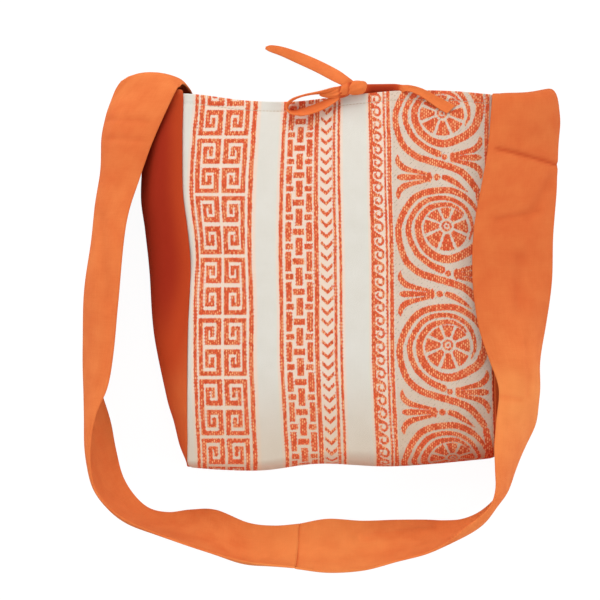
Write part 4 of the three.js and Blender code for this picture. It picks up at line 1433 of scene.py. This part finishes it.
def patterned_cotton(weave, dashes):
    """Cream cotton with terracotta motifs: the chart's height above 0 is thread, its edge stepped by the stitches.
    Each stitch is painted lighter on its swell and shaded at its edges, some carry a painted highlight and some are
    dull. The ground is tinted inside the bands, beige with hatching in the spiral band, and warmer towards the bottom.
    """
    material, tree, shader = new_material("patterned_cotton")
    place = cloth_map(tree)
    cloth = placed_group(tree, weave, Place=place, Threads=PANEL_WEAVE)
    stitch = placed_group(tree, dashes, Place=place, Across=DASHES_ACROSS, Up=DASHES_UP)
    swell, core, own = (stitch[key] for key in ("Swell", "Core", "Own"))
    motif, tint, beige, warm = (own_value(tree, key) for key in ("motif", "tint", "beige", "warm"))
    edge = maths(tree, "MULTIPLY_ADD", maths(tree, "SUBTRACT", swell, 0.5), 1.2, motif)
    thread = between(tree, edge, -0.62, 0.05)

    # the ground
    cream = mix(tree, cloth["Mottle"], CREAM_DARK, CREAM_LIGHT)
    cream = mix(tree, tint, cream, TINT, 0.8)
    parts = add(tree, "ShaderNodeSeparateXYZ", {0: place}).outputs
    across = maths(tree, "SUBTRACT", parts[0], parts[1])
    slant = maths(tree, "SINE", maths(tree, "MULTIPLY", across, HATCH_LINES))
    patchy = noise(tree, place, HATCH_PATCHES)
    hatch = maths(tree, "MULTIPLY", between(tree, slant, 0.5, 0.95), between(tree, patchy, 0.5, 0.66))
    sand = mix(tree, cloth["Mottle"], SAND_DARK, SAND_LIGHT)
    sand = mix(tree, hatch, sand, HATCH, 0.75)
    ground = mix(tree, beige, cream, sand)
    ground = mix(tree, warm, ground, WARMED, 0.5)

    # the thread
    # painted light and shade on each stitch: lighter at the crown of its swell, darker at its edges; then painted
    # highlights on the cores of some stitches
    terracotta = mix(tree, between(tree, swell, 0.1, 0.75), TERRACOTTA_SHADED, TERRACOTTA_LIT)
    terracotta = mix(tree, own, terracotta, APRICOT, 0.4)
    painted_glint = maths(tree, "MULTIPLY", core, between(tree, own, 0.25, 0.8))
    terracotta = mix(tree, painted_glint, terracotta, GLINT, 0.7)
    dull = maths(tree, "MULTIPLY", core, between(tree, own, 0.2, 0.05))
    terracotta = mix(tree, dull, terracotta, BROWN, 0.5)
    tree.links.new(mix(tree, thread, ground, terracotta), shader.inputs["Base Color"])

    relief = maths(tree, "ADD", between(tree, motif, -0.8, 0.8), cloth["Height"])
    relief = maths(tree, "MULTIPLY_ADD", maths(tree, "MULTIPLY", swell, thread), 1.2, relief)
    add_bump(tree, shader, relief, 0.5, 0.0005)
    shader.inputs["Roughness"].default_value = 0.9
    shader.inputs["Specular IOR Level"].default_value = 0.2
    return material


def sewing_thread(name, colour):
    """Thread of one colour with faint darker specks."""
    material, tree, shader = new_material(name)
    speck = noise(tree, add(tree, "ShaderNodeTexCoord").outputs["Object"], SPECKS)
    darker = (*[light * SPECK_DARK for light in colour[:3]], 1.0)
    tree.links.new(mix(tree, speck, darker, colour), shader.inputs["Base Color"])
    shader.inputs["Roughness"].default_value = 0.8
    return material


def grey(light):
    """A colour without hue."""
    return (light, light, light, 1.0)


def floor():
    """A floor, clear from below, white to the camera and darker to the bag, so that its sides keep their
    shade.
    """
    corners = FLOOR_REACH * np.array([(-1, -1, 0), (1, -1, 0), (1, 1, 0), (-1, 1, 0)]) - (0, 0, FLOOR_GAP / 2)
    obj = make_piece("floor", corners, np.array([[0, 1, 2, 3]]))
    material, tree, shader = new_material("floor_paper")
    seen = add(tree, "ShaderNodeLightPath").outputs["Is Camera Ray"]
    tree.links.new(mix(tree, seen, grey(FLOOR_DULL), grey(FLOOR_BASE)), shader.inputs["Base Color"])
    tree.links.new(mix(tree, seen, grey(0.0), grey(FLOOR_GLOW)), shader.inputs["Emission Color"])
    below = add(tree, "ShaderNodeNewGeometry").outputs["Backfacing"]
    tree.links.new(maths(tree, "SUBTRACT", 1.0, below), shader.inputs["Alpha"])
    shader.inputs["Emission Strength"].default_value = 1.0
    shader.inputs["Roughness"].default_value = 1.0
    shader.inputs["Specular IOR Level"].default_value = 0.0
    obj.data.materials.append(material)
    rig.stage(obj)


def area_light(name, place, size, power):
    """A soft square light, turned to face the middle of the floor under the bag."""
    lamp = bpy.data.lights.new(name, "AREA")
    lamp.size = size
    lamp.energy = power
    obj = bpy.data.objects.new(name, lamp)
    obj.location = place
    x, y, z = place
    obj.rotation_euler = (np.arctan2(np.hypot(x, y), z), 0, np.arctan2(-y, -x) - np.pi / 2)
    bpy.context.scene.collection.objects.link(obj)


def camera():
    """The photograph's camera, straight over the bag."""
    lens = bpy.data.cameras.new("camera")
    lens.lens = CAMERA_LENS
    lens.sensor_width = CAMERA_SENSOR
    obj = bpy.data.objects.new("camera", lens)
    obj.location = CAMERA * MM
    bpy.context.scene.collection.objects.link(obj)
    bpy.context.scene.camera = obj


def studio():
    """Even white light from all round, shown with plain colours."""
    world = bpy.data.worlds.new("studio")
    world.use_nodes = True
    background = world.node_tree.nodes["Background"]
    background.inputs[0].default_value = grey(1.0)
    background.inputs[1].default_value = ROOM_LIGHT
    bpy.context.scene.world = world
    bpy.context.scene.view_settings.view_transform = "Standard"


weave = plain_weave()
strap_cotton = cotton("orange_cotton", weave, STRAP_LIGHT, STRAP_DARK, STRAP_WEAVE)
ribbon_cotton = cotton("tie_cotton", weave, TIE_LIGHT, TIE_DARK, TIE_WEAVE)
panel_cotton = patterned_cotton(weave, woven_dashes())
hem_thread = sewing_thread("hem_thread", SEWING_THREAD)

front, front_grid, front_away = front_cloth()
put_on(front, panel_cotton, "patterned_cotton", "front_panel")
back = put_on(back_cloth(), panel_cotton, "patterned_cotton", "back_panel")
left_strip, left_long = strip("left_strip", -1, LEFT_STRAP)
put_on(left_strip, strap_cotton, "orange_cotton", "side_strip_left")
right_strip, right_long = strip("right_strip", 1, RIGHT_STRAP)
put_on(right_strip, strap_cotton, "orange_cotton", "side_strip_right")

tie = {}
for name, table in (
    ("tail_left", TAIL_LEFT), ("loop", LOOP), ("tail_right", TAIL_RIGHT), ("root_front", ROOT_FRONT),
    ("root_back", ROOT_BACK),
):
    made, width, long = ribbon(name, table)
    tie[name] = (put_on(made, ribbon_cotton, "tie_cotton", "tie_" + name), width, long)
knot = put_on(tie_knot(), ribbon_cotton, "tie_cotton", "tie_knot")
hem = put_on(hem_line(front_grid, front_away), hem_thread, "patterned_cotton")

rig.sheet(front, flat=(0.300, 0.395), held="laid", rests_on=["back_cloth"], with_pieces=[hem])
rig.sheet(back, flat=(0.320, 0.372), held="laid")
for obj, long in ((left_strip, left_long), (right_strip, right_long)):
    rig.sheet(obj, flat=(STRIP_WIDTH * MM, long * MM), held="folded", rests_on=["front_cloth"])
for name, (obj, width, long) in tie.items():
    others = [knot] if name == "loop" else []
    cut = (max(width, LEAST_CUT) * MM, max(long, LEAST_CUT) * MM)
    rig.sheet(obj, flat=cut, held="laid", rests_on=["front_cloth"], with_pieces=others)

floor()
for name, place, size, power in LIGHTS:
    area_light(name, place, size, power)
camera()
studio()

with open("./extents.json", "w") as file:
    json.dump({
        "cad": [list(map(float, p)) for p in cad_box],
        "visual": [list(map(float, p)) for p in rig.bounds()],
    }, file)
